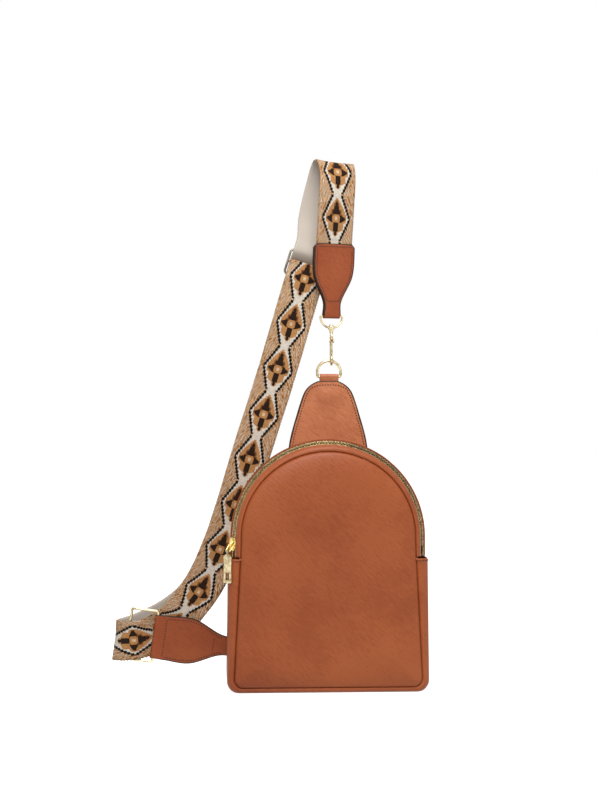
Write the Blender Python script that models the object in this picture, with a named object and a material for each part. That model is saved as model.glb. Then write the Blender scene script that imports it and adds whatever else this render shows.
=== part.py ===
"""A small arched sling bag in tan imitation leather, on a wide patterned strap.

Metres, +Z up, -Y towards the viewer. The origin is the middle of the bag's flat base.
The bag stands, with its strap looped up over it, down behind, and out to its ring tab at the left.
"""

import math

import bmesh
import bpy
from mathutils import Matrix, Vector

MM = 0.001
FIT = 0.3 * MM  # what touching pieces keep between them

# The bag's body
BAG_DEPTH = 79.4 * MM
BASE_WIDTH = 204 * MM
SHOULDER_WIDTH = 201 * MM  # across the side panel's top edge
SPLIT_HEIGHT = 136 * MM  # where the zipped gusset goes into the plain one
ARCH_HEIGHT = 156 * MM  # centre of the arch above the base
ZIP_RADIUS = 94.5 * MM
ZIP_SETBACK = 10 * MM  # the zip's centre behind the front seam
CORNER_RADIUS = 12 * MM
LEATHER = 1.5 * MM
EDGE_ROLL = 7 * MM  # depth of the rounded edge at the front and back seams
PANEL_TOP_WIDTH = 176 * MM
PANEL_BASE_WIDTH = 188.6 * MM
PANEL_ARCH_WIDTH = 175 * MM
PANEL_ARCH_RISE = 86 * MM
PANEL_FOOT = 6 * MM
PUFF = 5 * MM
BACK_DROP = 4 * MM  # how much lower the arch is at the back
LINING = 0.8 * MM
LINING_INSET = 3 * MM

# The zip
TOOTH_PITCH = 3 * MM
TOOTH_LENGTH = 1.25 * MM
TOOTH_HEIGHT = 2.2 * MM
TOOTH_REACH = 1.1 * MM  # past the middle line, between the other row's teeth
TOOTH_HEEL = 2.7 * MM
TAPE = 0.6 * MM
BEAD = 0.9 * MM  # thickness of the cord that the teeth are clamped to
BEAD_EDGE = 1.5 * MM  # from the middle line to the cord
TOOTH_END = 147 * MM
FACING_EDGE = 4.8 * MM  # from the zip's middle line to the leather
SLIDER_HEIGHT = 149.5 * MM
SLIDER_LENGTH = 13 * MM
SLIDER_WIDTH = 8.6 * MM
SLIDER_PLATE = 1.1 * MM
SLIDER_BORE = 1.6 * MM  # half the space between its plates
SLIDER_BRIDGE = 0.9 * MM
PULL_LENGTH = 32 * MM
PULL_WIDTH = 11 * MM
PULL_THICKNESS = 1.6 * MM
LINK_LENGTH = 9.7 * MM
LINK_WIDTH = 7.4 * MM
LINK_WIRE = 1.3 * MM
LINK_TILT = math.radians(43)  # the pull stands off the bag's rolled edge

# The top tab, its ring and the snap hook
TAB_X = 5 * MM
TAB_TOP = 313 * MM
TAB_FOOT = 232 * MM
RING_LOOP_WIDTH = 20 * MM
RING_LOOP = 1.2 * MM
RING_X = 6 * MM
RING_BAR_HEIGHT = 318.5 * MM
RING_WIDTH = 24.6 * MM
RING_RISE = 16.8 * MM
RING_WIRE = 3 * MM
HOOK_X = 8.5 * MM
HOOK_SLACK = 1.1 * MM
HOOK_HALF_WIDTH = 4.8 * MM
HOOK_WIRE = 2.8 * MM
HOOK_SHOULDER = 360 * MM
GATE_WIRE = 2.2 * MM
GATE_PIN = 1.2 * MM
EYE_HEIGHT = 382.4 * MM
EYE_WIDTH = 25 * MM
EYE_DROP = 12.6 * MM
EYE_WIRE = 2.2 * MM
SWIVEL_PIN = 2.4 * MM
STRAP_YAW = math.radians(20)

# The strap and its fittings
STRAP_WIDTH = 41 * MM
STRAP = 1.8 * MM
END_TAB = 1.3 * MM
END_TAB_TOP = 458 * MM
END_TAB_WIDTH = 45 * MM
END_TAB_NECK = 18 * MM
ADJUSTER_BAR_GAP = 13 * MM
ADJUSTER_WIRE = 2.5 * MM
ADJUSTER_CENTRE = Vector((-15.3, 58, 435)) * MM
STRAP_LEAN = math.radians(17.3)
LOWER_RING_LENGTH = 53 * MM
LOWER_RING_WIDTH = 28 * MM
LOWER_RING_WIRE = 2.8 * MM
LOWER_TAB_LENGTH = 95 * MM
LOWER_TAB_WIDTH = 45 * MM
LOWER_TAB_NECK = 20 * MM
LOWER_TAB_LEAN = math.radians(8)
LOWER_TAB_FOLD_X = -179 * MM
LOWER_TAB_FOLD_Z = 47 * MM

FRONT_Y = -BAG_DEPTH / 2
BACK_Y = BAG_DEPTH / 2
ZIP_Y = FRONT_Y + ZIP_SETBACK
SLANT = math.sqrt(0.5)  # the zip lies at 45 degrees between the front and the gusset
TAB_Y = BACK_Y + FIT + LEATHER + FIT + RING_LOOP + FIT / 2
LOWER_TAB_Y = BACK_Y + FIT + END_TAB + FIT / 2
ARCH_STEPS = 36

for old in list(bpy.data.objects):
    bpy.data.objects.remove(old)

bag = bpy.data.collections.new("sling_bag")
cutters = bpy.data.collections.new("cutters")
bpy.context.scene.collection.children.link(bag)
bpy.context.scene.collection.children.link(cutters)


def material(name, colour, roughness, metallic=0.0):
    made = bpy.data.materials.new(name)
    made.use_nodes = True
    shader = made.node_tree.nodes["Principled BSDF"]
    shader.inputs["Base Color"].default_value = (*colour, 1)
    shader.inputs["Roughness"].default_value = roughness
    shader.inputs["Metallic"].default_value = metallic
    return made


tan_leather = material("tan_leather", (0.38, 0.10, 0.035), 0.5)
tape_cloth = material("zip_tape", (0.16, 0.06, 0.03), 0.9)
antique_brass = material("antique_brass", (0.35, 0.22, 0.10), 0.35, 1.0)
pale_gold = material("pale_gold", (0.83, 0.72, 0.52), 0.2, 1.0)
yellow_gold = material("yellow_gold", (0.80, 0.58, 0.25), 0.25, 1.0)
jacquard = material("jacquard_webbing", (0.55, 0.35, 0.18), 0.9)
lining_cloth = material("lining_cloth", (0.30, 0.18, 0.10), 0.9)


# Modelling helpers


def add(bm, name, finish):
    """Make a bmesh an object of the bag."""
    bmesh.ops.recalc_face_normals(bm, faces=bm.faces)
    mesh = bpy.data.meshes.new(name)
    bm.to_mesh(mesh)
    bm.free()
    mesh.materials.append(finish)
    mesh.shade_smooth()
    mesh.set_sharp_from_angle(angle=math.radians(35))
    made = bpy.data.objects.new(name, mesh)
    bag.objects.link(made)
    return made


def loft(rings):
    """A closed body through rings of equally many points, capped at both ends."""
    bm = bmesh.new()
    ring = [bm.verts.new(point) for point in rings[0]]
    bm.faces.new(ring)
    edges = [bm.edges.get((a, b)) for a, b in zip(ring, ring[1:] + ring[:1])]
    for points in rings[1:]:
        grown = bmesh.ops.extrude_edge_only(bm, edges=edges)["geom"]
        fresh = {item for item in grown if isinstance(item, bmesh.types.BMVert)}
        following = []
        for vert, point in zip(ring, points):
            mate = next(e.other_vert(vert) for e in vert.link_edges if e.other_vert(vert) in fresh)
            mate.co = point
            following.append(mate)
        ring = following
        edges = [bm.edges.get((a, b)) for a, b in zip(ring, ring[1:] + ring[:1])]
    bm.faces.new(ring)
    return bm


def smooth_curve(points, step):
    """Points about a step apart on a smooth curve through the given ones."""
    points = [Vector(p) for p in points]
    along = [0.0]
    for a, b in zip(points, points[1:]):
        along.append(along[-1] + (b - a).length)
    last = len(points) - 1
    slopes = []
    for i in range(last + 1):
        low, high = max(i - 1, 0), min(i + 1, last)
        slopes.append((points[high] - points[low]) / (along[high] - along[low]))
    made = []
    for i in range(last):
        span = along[i + 1] - along[i]
        count = max(1, round(span / step))
        for k in range(count):
            t = k / count
            made.append(
                points[i] * (2 * t**3 - 3 * t**2 + 1)
                + slopes[i] * (t**3 - 2 * t**2 + t) * span
                + points[i + 1] * (3 * t**2 - 2 * t**3)
                + slopes[i + 1] * (t**3 - t**2) * span
            )
    made.append(points[-1])
    return made


def blended(value, marks):
    """The size at a place between marks of (place, size), eased between them."""
    for (a, low), (b, high) in zip(marks, marks[1:]):
        if value <= b:
            t = max(0.0, (value - a) / (b - a))
            return low + (high - low) * t * t * (3 - 2 * t)
    return marks[-1][1]


def ribbon(path, across, widths, thickness):
    """A flat strip along a path, with a direction across it and a width at each point."""
    rings = []
    last = len(path) - 1
    for i, point in enumerate(path):
        ahead = (path[min(i + 1, last)] - path[max(i - 1, 0)]).normalized()
        side = (across[i] - ahead * across[i].dot(ahead)).normalized()
        half, deep = side * widths[i] / 2, ahead.cross(side) * thickness / 2
        rings.append([point - half - deep, point + half - deep, point + half + deep, point - half + deep])
    return loft(rings)


def wire(points, thickness, closed=False):
    """A bent wire, as a bmesh."""
    curve = bpy.data.curves.new("wire", "CURVE")
    curve.dimensions = "3D"
    curve.bevel_depth = thickness / 2
    curve.bevel_resolution = 2
    curve.use_fill_caps = True
    spline = curve.splines.new("POLY")
    spline.points.add(len(points) - 1)
    for point, place in zip(spline.points, points):
        point.co = (*place, 1)
    spline.use_cyclic_u = closed
    guide = bpy.data.objects.new("wire", curve)
    cutters.objects.link(guide)
    graph = bpy.context.evaluated_depsgraph_get()
    mesh = bpy.data.meshes.new_from_object(guide.evaluated_get(graph))
    bpy.data.objects.remove(guide)
    bm = bmesh.new()
    bm.from_mesh(mesh)
    bpy.data.meshes.remove(mesh)
    bmesh.ops.remove_doubles(bm, verts=bm.verts, dist=0.00001)
    return bm


def cylinder(centre, axis, radius, length, sides=20):
    """A round bar, as a bmesh."""
    bm = bmesh.new()
    turn = Vector((0, 0, 1)).rotation_difference(Vector(axis)).to_matrix().to_4x4()
    place = Matrix.Translation(centre) @ turn
    bmesh.ops.create_cone(
        bm, cap_ends=True, segments=sides, radius1=radius, radius2=radius, depth=length, matrix=place
    )
    return bm


def combine(made, tools, operation):
    """Join tools to an object, or cut them from it."""
    for number, bm in enumerate(tools):
        bmesh.ops.recalc_face_normals(bm, faces=bm.faces)
        mesh = bpy.data.meshes.new("tool")
        bm.to_mesh(mesh)
        bm.free()
        tool = bpy.data.objects.new(f"{made.name}_{operation.lower()}_{number}", mesh)
        tool.hide_render = True
        tool.display_type = "WIRE"
        cutters.objects.link(tool)
        step = made.modifiers.new(tool.name, "BOOLEAN")
        step.operation = operation
        step.object = tool
    return made


def arc(centre, radius, start, end, steps):
    """Places (a, b) on an arc, angles in degrees from +a towards +b."""
    places = []
    for i in range(steps + 1):
        angle = math.radians(start + (end - start) * i / steps)
        places.append((centre[0] + radius * math.cos(angle), centre[1] + radius * math.sin(angle)))
    return places


# The outlines of the bag, as (x, z) places seen from the front, left to right


def arch(half_width, rise, foot, foot_half_width):
    """Up the left side from the foot, over the arch and down the right side."""
    left = [(-foot_half_width, foot), (-(half_width + foot_half_width) / 2, (foot + ARCH_HEIGHT) / 2)]
    crown = []
    for i in range(ARCH_STEPS + 1):
        angle = math.pi * (1 - i / ARCH_STEPS)
        crown.append((half_width * math.cos(angle), ARCH_HEIGHT + rise * math.sin(angle)))
    return left + crown + [(-x, z) for x, z in reversed(left)]


def trough(top_half_width, base_half_width, top, base, corner):
    """Down the left side, round the corner, along the base and up the right side."""
    left = []
    for i in range(4):
        left.append((
            -top_half_width - (base_half_width - top_half_width) * i / 4,
            top - (top - base - corner) * i / 4,
        ))
    left += arc((-base_half_width + corner, base + corner), corner, 180, 270, 5)
    left += [((-base_half_width + corner) * (1 - i / 3), base) for i in (1, 2)]
    return left + [(0, base)] + [(-x, z) for x, z in reversed(left)]


def panel_outline(inset):
    """The closed outline of the front panel, or of a smaller one inside it."""
    top_half = PANEL_TOP_WIDTH / 2 - inset
    crown = arch(PANEL_ARCH_WIDTH / 2 - inset, PANEL_ARCH_RISE - inset, SPLIT_HEIGHT, top_half)
    corner = max(CORNER_RADIUS - EDGE_ROLL / 2 - inset / 3, 2 * MM)
    low = trough(top_half, PANEL_BASE_WIDTH / 2 - inset, SPLIT_HEIGHT, PANEL_FOOT + inset, corner)
    return crown + low[::-1][1:-1]


def at(outline, y):
    return [Vector((x, y, z)) for x, z in outline]


def front_face(inset):
    """Where the puffed front panel's face is at a distance in from its seam."""
    return FRONT_Y - PUFF * (1 - math.exp(-inset / (14 * MM)))


def make_front_panel():
    insets = [60 * MM, 34 * MM, 16 * MM, 6 * MM, FIT]
    rings = [at(panel_outline(inset), front_face(inset) + LEATHER) for inset in insets]
    rings += [at(panel_outline(inset), front_face(inset)) for inset in reversed(insets)]
    return add(loft(rings), "front_panel", tan_leather)


def make_back_panel():
    rings = []
    for inset, y in (
        (50 * MM, BACK_Y - LEATHER), (FIT, BACK_Y - LEATHER), (FIT, BACK_Y), (50 * MM, BACK_Y),
    ):
        rings.append(at(panel_outline(inset), y))
    return add(loft(rings), "back_panel", tan_leather)


def rolled_section(seam, side, y_seam, y_side):
    """A quarter roll of leather from the seam out to the side, as its outer and inner places."""
    outer, inner = [], []
    width = (side - seam).length
    depth = y_side - y_seam
    wall = math.copysign(LEATHER, depth)
    for i in range(5):
        angle = math.pi / 2 * i / 4
        for places, reach, low in (
            (outer, 1, 0),
            (inner, max(1 - LEATHER / width, 0.2), wall),
        ):
            place = seam.lerp(side, math.sin(angle) * reach)
            place.y = y_seam + low + (depth - low) * (1 - math.cos(angle))
            places.append(place)
    return outer, inner


def make_lower_gusset():
    """One strip down the left side, under the base and up the right side, rolled at both seams."""
    sides = at(trough(SHOULDER_WIDTH / 2, BASE_WIDTH / 2, SPLIT_HEIGHT, 0, CORNER_RADIUS), 0)
    seam_corner = CORNER_RADIUS - EDGE_ROLL / 2
    seams = at(trough(PANEL_TOP_WIDTH / 2, PANEL_BASE_WIDTH / 2, SPLIT_HEIGHT, PANEL_FOOT, seam_corner), 0)
    rings = []
    for seam, side in zip(seams, sides):
        front_out, front_in = rolled_section(seam, side, FRONT_Y, FRONT_Y + EDGE_ROLL)
        back_out, back_in = rolled_section(seam, side, BACK_Y, BACK_Y - EDGE_ROLL)
        rings.append(front_out + back_out[::-1] + back_in + front_in[::-1])
    return add(loft(rings), "lower_gusset", tan_leather)


# The zip: places along its path from the crown, across it towards the back, and out from its face

QUARTER = ZIP_RADIUS * math.pi / 2
ZIP_FOOT = SPLIT_HEIGHT + FIT  # where the zipped gusset's pieces end on the side panel


def zip_station(place):
    """The arch's centre line and the outward direction at a length from the crown."""
    angle = max(-math.pi / 2, min(math.pi / 2, place / ZIP_RADIUS))
    below = max(0.0, abs(place) - QUARTER)
    return Vector((0, 0, ARCH_HEIGHT - below)), Vector((math.sin(angle), 0, math.cos(angle)))


def on_zip(place, across, out):
    foot, radial = zip_station(place)
    reach = ZIP_RADIUS + (across + out) * SLANT
    return foot + radial * reach + Vector((0, ZIP_Y + (across - out) * SLANT, 0))


def zip_places(end_height):
    """Places along the zip, from its left end at a height, over the crown, to its right end."""
    end = QUARTER + ARCH_HEIGHT - end_height
    crown = [QUARTER * (2 * i / ARCH_STEPS - 1) for i in range(ARCH_STEPS + 1)]
    return [-end, -(QUARTER + end) / 2] + crown + [(QUARTER + end) / 2, end]


def make_zip_tape(name, side):
    """One of the zip's two cloth tapes, as far as it shows beside its facing."""
    half = TAPE / 2
    edge, hem = TOOTH_HEEL + FIT, FACING_EDGE - FIT
    section = [(edge, -half), (hem, -half), (hem, half), (edge, half)]
    rings = [[on_zip(place, side * across, out) for across, out in section] for place in zip_places(ZIP_FOOT)]
    return add(loft(rings), name, tape_cloth)


def make_zip_teeth(name, side):
    """A row of metal teeth on its cord, which pass between the other row's teeth."""
    tall, low = TOOTH_HEIGHT / 2, BEAD / 2
    plain = [(TOOTH_HEEL, -low), (BEAD_EDGE, -low), (BEAD_EDGE, low), (TOOTH_HEEL, low)]
    toothed = [(TOOTH_HEEL, -tall), (-TOOTH_REACH, -tall), (-TOOTH_REACH, tall), (TOOTH_HEEL, tall)]

    def section(shape, place):
        return [on_zip(place, side * across, out) for across, out in shape]

    end = QUARTER + ARCH_HEIGHT - ZIP_FOOT
    teeth_end = QUARTER + ARCH_HEIGHT - TOOTH_END
    count = int(teeth_end / TOOTH_PITCH)
    shift = TOOTH_PITCH / 2 if side > 0 else 0
    rings = [section(plain, -end)]
    for number in range(-count, count):
        place = number * TOOTH_PITCH + shift
        start, stop = place - TOOTH_LENGTH / 2, place + TOOTH_LENGTH / 2
        rings += [section(plain, start), section(toothed, start), section(toothed, stop), section(plain, stop)]
    rings.append(section(plain, end))
    return add(loft(rings), name, antique_brass)


def make_front_facing():
    """The rolled leather strip between the front panel's seam and the zip."""
    seams = at(arch(PANEL_ARCH_WIDTH / 2, PANEL_ARCH_RISE, ZIP_FOOT, PANEL_TOP_WIDTH / 2), FRONT_Y)
    rings = []
    for place, seam in zip(zip_places(ZIP_FOOT), seams):
        edge = on_zip(place, -FACING_EDGE, TOOTH_HEIGHT / 2)
        under = on_zip(place, -FACING_EDGE, TAPE / 2 + FIT)
        outer, inner = [], []
        for i in range(5):
            angle = math.pi / 2 * i / 4
            across = Vector((edge.x - seam.x, 0, edge.z - seam.z)) * math.sin(angle)
            back = Vector((0, edge.y - seam.y, 0)) * (1 - math.cos(angle))
            outer.append(seam + across + back)
            inner.append(seam + across * 0.8 + back * 0.6 + Vector((0, LEATHER, 0)))
        inner[-1] = under
        rings.append(outer + inner[::-1])
    return add(loft(rings), "front_zip_facing", tan_leather)


def make_rear_facing():
    """The wide gusset behind the zip, which runs back to the rear seam."""
    top = ZIP_RADIUS + FACING_EDGE * SLANT + 0.5 * MM
    back = top - BACK_DROP
    rings = []
    for place in zip_places(ZIP_FOOT):
        foot, radial = zip_station(place)
        edge = on_zip(place, FACING_EDGE, TOOTH_HEIGHT / 2)
        under = on_zip(place, FACING_EDGE, TAPE / 2 + FIT)
        outer, inner = [edge], [under]
        for radius, y in (
            (top, edge.y + 3 * MM), (top - 0.4 * MM, -8 * MM), (top - BACK_DROP / 2, 12 * MM),
            (back, BACK_Y - EDGE_ROLL), (back - 1 * MM, BACK_Y - EDGE_ROLL * 0.5),
            (back - 3.2 * MM, BACK_Y - EDGE_ROLL * 0.15), (PANEL_ARCH_RISE + 1.8 * MM, BACK_Y),
        ):
            last = y > BACK_Y - EDGE_ROLL * 0.6
            outer.append(foot + radial * radius + Vector((0, y, 0)))
            inner.append(
                foot + radial * (radius - LEATHER * (0.6 if last else 1))
                + Vector((0, y - (LEATHER if last else 0), 0))
            )
        inner[-1] = foot + radial * (PANEL_ARCH_RISE + 1.8 * MM) + Vector((0, BACK_Y - LEATHER, 0))
        rings.append(outer + inner[::-1])
    return add(loft(rings), "rear_zip_facing", tan_leather)


def make_lining():
    """The cloth bag inside, open all along under the zip."""

    def block(wall):
        inset = LINING_INSET + wall
        front, back = FRONT_Y + LEATHER + FIT + wall, BACK_Y - LEATHER - FIT - wall
        return loft([at(panel_outline(inset), front), at(panel_outline(inset), back)])

    mouth = []
    for i in range(ARCH_STEPS + 1):
        foot, radial = zip_station(QUARTER * (2 * i / ARCH_STEPS - 1))
        mouth.append([
            foot + radial * radius + Vector((0, ZIP_Y + reach, 0))
            for radius, reach in ((70 * MM, -4 * MM), (100 * MM, -4 * MM), (100 * MM, 6 * MM), (70 * MM, 6 * MM))
        ])
    return combine(add(block(0), "lining", lining_cloth), [block(LINING), loft(mouth)], "DIFFERENCE")


# The slider and its pull, whose places are across, out from the zip's face, and height


def on_slider(across, out, height):
    return Vector((-(ZIP_RADIUS + (across + out) * SLANT), ZIP_Y + (across - out) * SLANT, height))


SLIDER_ACROSS = Vector((-SLANT, SLANT, 0))
SLIDER_OUT = Vector((-SLANT, -SLANT, 0))
LINK_OUT = SLIDER_BORE + SLIDER_PLATE + FIT + LINK_WIRE / 2
LINK_TOP = SLIDER_HEIGHT - 0.5 * MM
LINK_REACH = LINK_LENGTH - LINK_WIRE  # between the middles of its two bars
PULL_OUT = LINK_OUT + LINK_REACH * math.sin(LINK_TILT)
PULL_TOP = LINK_TOP - LINK_REACH * math.cos(LINK_TILT)


def make_slider():
    """Two flanged plates round the teeth, joined by a post between the rows, and a bridge for the link."""
    low = SLIDER_HEIGHT - SLIDER_LENGTH / 2
    outside = SLIDER_BORE + SLIDER_PLATE
    flange = TAPE / 2 + 0.5 * MM
    half = SLIDER_WIDTH / 2
    lip = half - 0.7 * MM
    channel = [
        (-half, flange), (-lip, flange), (-lip, SLIDER_BORE), (lip, SLIDER_BORE),
        (lip, flange), (half, flange), (half, outside), (-half, outside),
    ]
    top_plate, bottom_plate = [], []
    for share, narrow in ((0.0, 0.94), (0.2, 1.0), (0.75, 1.0), (1.0, 0.97)):
        height = low + SLIDER_LENGTH * share
        top_plate.append([on_slider(across * narrow, out, height) for across, out in channel])
        bottom_plate.append([on_slider(across * narrow, -out, height) for across, out in channel])
    made = add(loft(top_plate), "zip_slider", yellow_gold)
    wide, tall = 0.8 * MM, SLIDER_BORE + SLIDER_PLATE / 2
    post = loft([
        [on_slider(across, out, height) for across, out in ((-wide, -tall), (wide, -tall), (wide, tall), (-wide, tall))]
        for height in (low + 0.3 * MM, low + 2.3 * MM)
    ])
    crest = LINK_OUT + LINK_WIRE / 2 + FIT + SLIDER_BRIDGE / 2
    foot_out = outside - SLIDER_BRIDGE / 4
    reach = LINK_WIRE / 2 + FIT + SLIDER_BRIDGE / 2
    places = [
        (foot_out, LINK_TOP + reach + 0.9 * MM), (LINK_OUT, LINK_TOP + reach + 0.2 * MM),
        (crest, LINK_TOP), (LINK_OUT, LINK_TOP - reach - 0.2 * MM), (foot_out, LINK_TOP - reach - 0.9 * MM),
    ]
    path = smooth_curve([on_slider(0, out, height) for out, height in places], 0.7 * MM)
    bridge = ribbon(path, [SLIDER_ACROSS] * len(path), [2.6 * MM] * len(path), SLIDER_BRIDGE)
    return combine(made, [loft(bottom_plate), post, bridge], "UNION")


def rounded_loop(width, height, radius, steps=4):
    """A closed rectangle with round corners, as places about its centre."""
    places = []
    for side_a, side_b, start in ((1, 1, 0), (-1, 1, 90), (-1, -1, 180), (1, -1, 270)):
        centre = (side_a * (width / 2 - radius), side_b * (height / 2 - radius))
        places += arc(centre, radius, start, start + 90, steps)
    return places


def make_pull_link():
    """The wire link that hangs in the slider's bridge and leans out over the bag's edge."""
    points = []
    for across, along in rounded_loop(LINK_WIDTH - LINK_WIRE, LINK_REACH, 1.5 * MM):
        down = LINK_REACH / 2 - along
        points.append(on_slider(
            across, LINK_OUT + down * math.sin(LINK_TILT), LINK_TOP - down * math.cos(LINK_TILT)
        ))
    return add(wire(points, LINK_WIRE, closed=True), "pull_link", yellow_gold)


def make_pull_tab():
    """The flat puller, slotted at its foot, with an eye rolled round the link's lower bar."""
    bore = LINK_WIRE / 2 + FIT
    half = PULL_THICKNESS / 2
    foot = PULL_TOP - PULL_LENGTH
    eye_half = (LINK_WIDTH - 2 * LINK_WIRE) / 2 - 0.8 * MM
    neck_half = eye_half - 0.2 * MM
    shoulder = PULL_TOP - 4.4 * MM
    left = [
        (-neck_half, PULL_TOP - 0.4 * MM), (-neck_half, PULL_TOP - 2.6 * MM), (-PULL_WIDTH * 0.4, shoulder),
        (-PULL_WIDTH * 0.48, shoulder - 1.6 * MM), (-PULL_WIDTH * 0.44, (shoulder + foot) / 2),
        (-PULL_WIDTH * 0.5, foot + 4 * MM), (-PULL_WIDTH * 0.5, foot + 1.2 * MM), (-PULL_WIDTH * 0.4, foot),
    ]
    places = left + [(-across, height) for across, height in reversed(left)]
    plate = loft([[on_slider(across, PULL_OUT + out, height) for across, height in places] for out in (-half, half)])
    made = add(plate, "pull_tab", pale_gold)
    centre = on_slider(0, PULL_OUT, PULL_TOP)
    combine(made, [cylinder(centre, SLIDER_ACROSS, bore + 0.8 * MM, 2 * eye_half, 16)], "UNION")
    slot = [(-2.6 * MM, 3 * MM), (2.6 * MM, 3 * MM), (2.6 * MM, 10.5 * MM), (-2.6 * MM, 10.5 * MM)]
    window = loft([
        [on_slider(across, PULL_OUT + out, foot + up) for across, up in slot] for out in (-3 * half, 3 * half)
    ])
    return combine(made, [cylinder(centre, SLIDER_ACROSS, bore, PULL_WIDTH, 12), window], "DIFFERENCE")


# The top tab and the ring it carries


def tab_half_width(height):
    return blended(height, [
        (TAB_FOOT, 42 * MM), (254 * MM, 38.8 * MM), (280 * MM, 31.6 * MM), (298 * MM, 25.8 * MM),
        (305 * MM, 22 * MM), (310 * MM, 16.5 * MM), (TAB_TOP, 10.5 * MM),
    ])


def make_top_tab(name, front):
    heights = [TAB_FOOT + (TAB_TOP - TAB_FOOT) * share for share in
               (0, 0.12, 0.27, 0.42, 0.55, 0.68, 0.78, 0.84, 0.89, 0.93, 0.96, 0.98, 1)]
    left = [(TAB_X - tab_half_width(height), height) for height in heights]
    right = [(TAB_X + tab_half_width(height), height) for height in reversed(heights)]
    return add(loft([at(left + right, front), at(left + right, front + LEATHER)]), name, tan_leather)


def fold_round(bar_radius, thickness, y, leg_y, far, spread, steps=8):
    """Places (out, y) of a strip folded round a bar at 0: up one side, over and back down."""
    radius = bar_radius + FIT + thickness / 2
    front = [(-far, y - leg_y), (-spread, y - leg_y)]
    over = [(b, y - a) for a, b in arc((0, 0), radius, 0, 180, steps)]
    return front, over, [(a, 2 * y - b) for a, b in reversed(front)]


def make_ring_loop():
    """The strip folded round the ring's bar, its legs between the two faces of the tab."""
    leg = (RING_LOOP + FIT) / 2
    front, over, back = fold_round(RING_WIRE / 2, RING_LOOP, TAB_Y, leg, 28 * MM, 5 * MM)
    places = front + over + back
    path = [Vector((RING_X, y, RING_BAR_HEIGHT + up)) for up, y in places]
    path = [path[0], path[0].lerp(path[1], 0.5), *path[1:-1], path[-1].lerp(path[-2], 0.5), path[-1]]
    count = len(path)
    return add(ribbon(path, [Vector((1, 0, 0))] * count, [RING_LOOP_WIDTH] * count, RING_LOOP), "ring_loop",
               tan_leather)


def make_top_ring():
    """The ring: a bar in the loop and a half round above."""
    half = RING_WIDTH / 2
    spring = RING_BAR_HEIGHT + RING_RISE - half
    corner = 2 * MM
    places = arc((0, spring), half, 0, 180, 16)
    places += arc((-half + corner, RING_BAR_HEIGHT + corner), corner, 180, 270, 3)
    places += arc((half - corner, RING_BAR_HEIGHT + corner), corner, 270, 360, 3)
    points = [Vector((RING_X + x, TAB_Y, z)) for x, z in places]
    return add(wire(points, RING_WIRE, closed=True), "top_ring", pale_gold)


# The snap hook

YAW_ACROSS = Vector((math.cos(STRAP_YAW), math.sin(STRAP_YAW), 0))
EYE_PLACE = Vector((HOOK_X, TAB_Y, EYE_HEIGHT))
RING_TOP = RING_BAR_HEIGHT + RING_RISE
HOOK_FOOT = RING_TOP - RING_WIRE / 2 - HOOK_SLACK - HOOK_WIRE / 2
COLLAR_HEIGHT = EYE_HEIGHT - EYE_DROP


def make_snap_eye():
    """The swivel's eye: a half-round ring with a bored collar at its foot."""
    half = EYE_WIDTH / 2
    corner = 1.6 * MM
    places = arc((-half + corner, -corner), corner, 90, 180, 3)
    for i in range(1, 12):
        angle = math.pi * i / 12
        places.append((-half * math.cos(angle), -corner - (EYE_DROP - corner) * math.sin(angle)))
    places += arc((half - corner, -corner), corner, 0, 90, 3)
    points = [EYE_PLACE + YAW_ACROSS * a + Vector((0, 0, b)) for a, b in places]
    made = add(wire(points, EYE_WIRE, closed=True), "snap_eye", pale_gold)
    centre = Vector((HOOK_X, TAB_Y, COLLAR_HEIGHT))
    combine(made, [cylinder(centre, (0, 0, 1), 3.4 * MM, 4 * MM)], "UNION")
    return combine(made, [cylinder(centre, (0, 0, 1), SWIVEL_PIN / 2 + FIT, 8 * MM)], "DIFFERENCE")


GATE_TOP = HOOK_SHOULDER - 4 * MM
GATE_FOOT = HOOK_FOOT + HOOK_HALF_WIDTH + 5 * MM


def make_hook():
    """The hook: a stem that turns in the eye's collar, a spine, a bend and a nose, and two gate cheeks."""
    half = HOOK_HALF_WIDTH
    bend = HOOK_FOOT + half
    places = [(-half, GATE_TOP + 0.3 * MM), (-half, HOOK_SHOULDER - 1 * MM)]
    places += [(a, b) for a, b in reversed(arc((0, HOOK_SHOULDER), half, 0, 180, 10))]
    places += [(half, HOOK_SHOULDER - 8 * MM), (half, bend + 6 * MM)]
    places += reversed(arc((0, bend), half, 180, 360, 10))
    places += [(-half, bend + 3.4 * MM)]
    points = [Vector((HOOK_X, TAB_Y + y, z)) for y, z in places]
    made = add(wire(points, HOOK_WIRE), "snap_hook", pale_gold)
    crest = HOOK_SHOULDER + half
    head_low = COLLAR_HEIGHT + 2 * MM + FIT
    stem_top = head_low + 0.6 * MM
    stem = cylinder(Vector((HOOK_X, TAB_Y, (crest + stem_top) / 2)), (0, 0, 1), SWIVEL_PIN / 2, stem_top - crest)
    head = cylinder(Vector((HOOK_X, TAB_Y, head_low + 0.8 * MM)), (0, 0, 1), 2.3 * MM, 1.6 * MM)
    boss_height = (crest + COLLAR_HEIGHT - 2 * MM - FIT) / 2
    boss_length = 2 * (COLLAR_HEIGHT - 2 * MM - FIT - boss_height)
    boss = cylinder(Vector((HOOK_X, TAB_Y, boss_height)), (0, 0, 1), 2.2 * MM, boss_length)
    pivot = Vector((HOOK_X, TAB_Y - half, GATE_TOP))
    cheek = cylinder(pivot, (1, 0, 0), 2 * MM, 5.2 * MM)
    combine(made, [stem, head, boss, cheek], "UNION")
    room = Vector((2.8 * MM, 7 * MM, 5.6 * MM)) / 2
    slot_centre = pivot + Vector((0, 0, -1.2 * MM))
    slot = bmesh.new()
    place = Matrix.Translation(slot_centre) @ Matrix.Diagonal((*(room * 2), 1))
    bmesh.ops.create_cube(slot, size=1, matrix=place)
    return combine(made, [slot, cylinder(pivot, (1, 0, 0), GATE_PIN / 2 + FIT, 12 * MM)], "DIFFERENCE")


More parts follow.
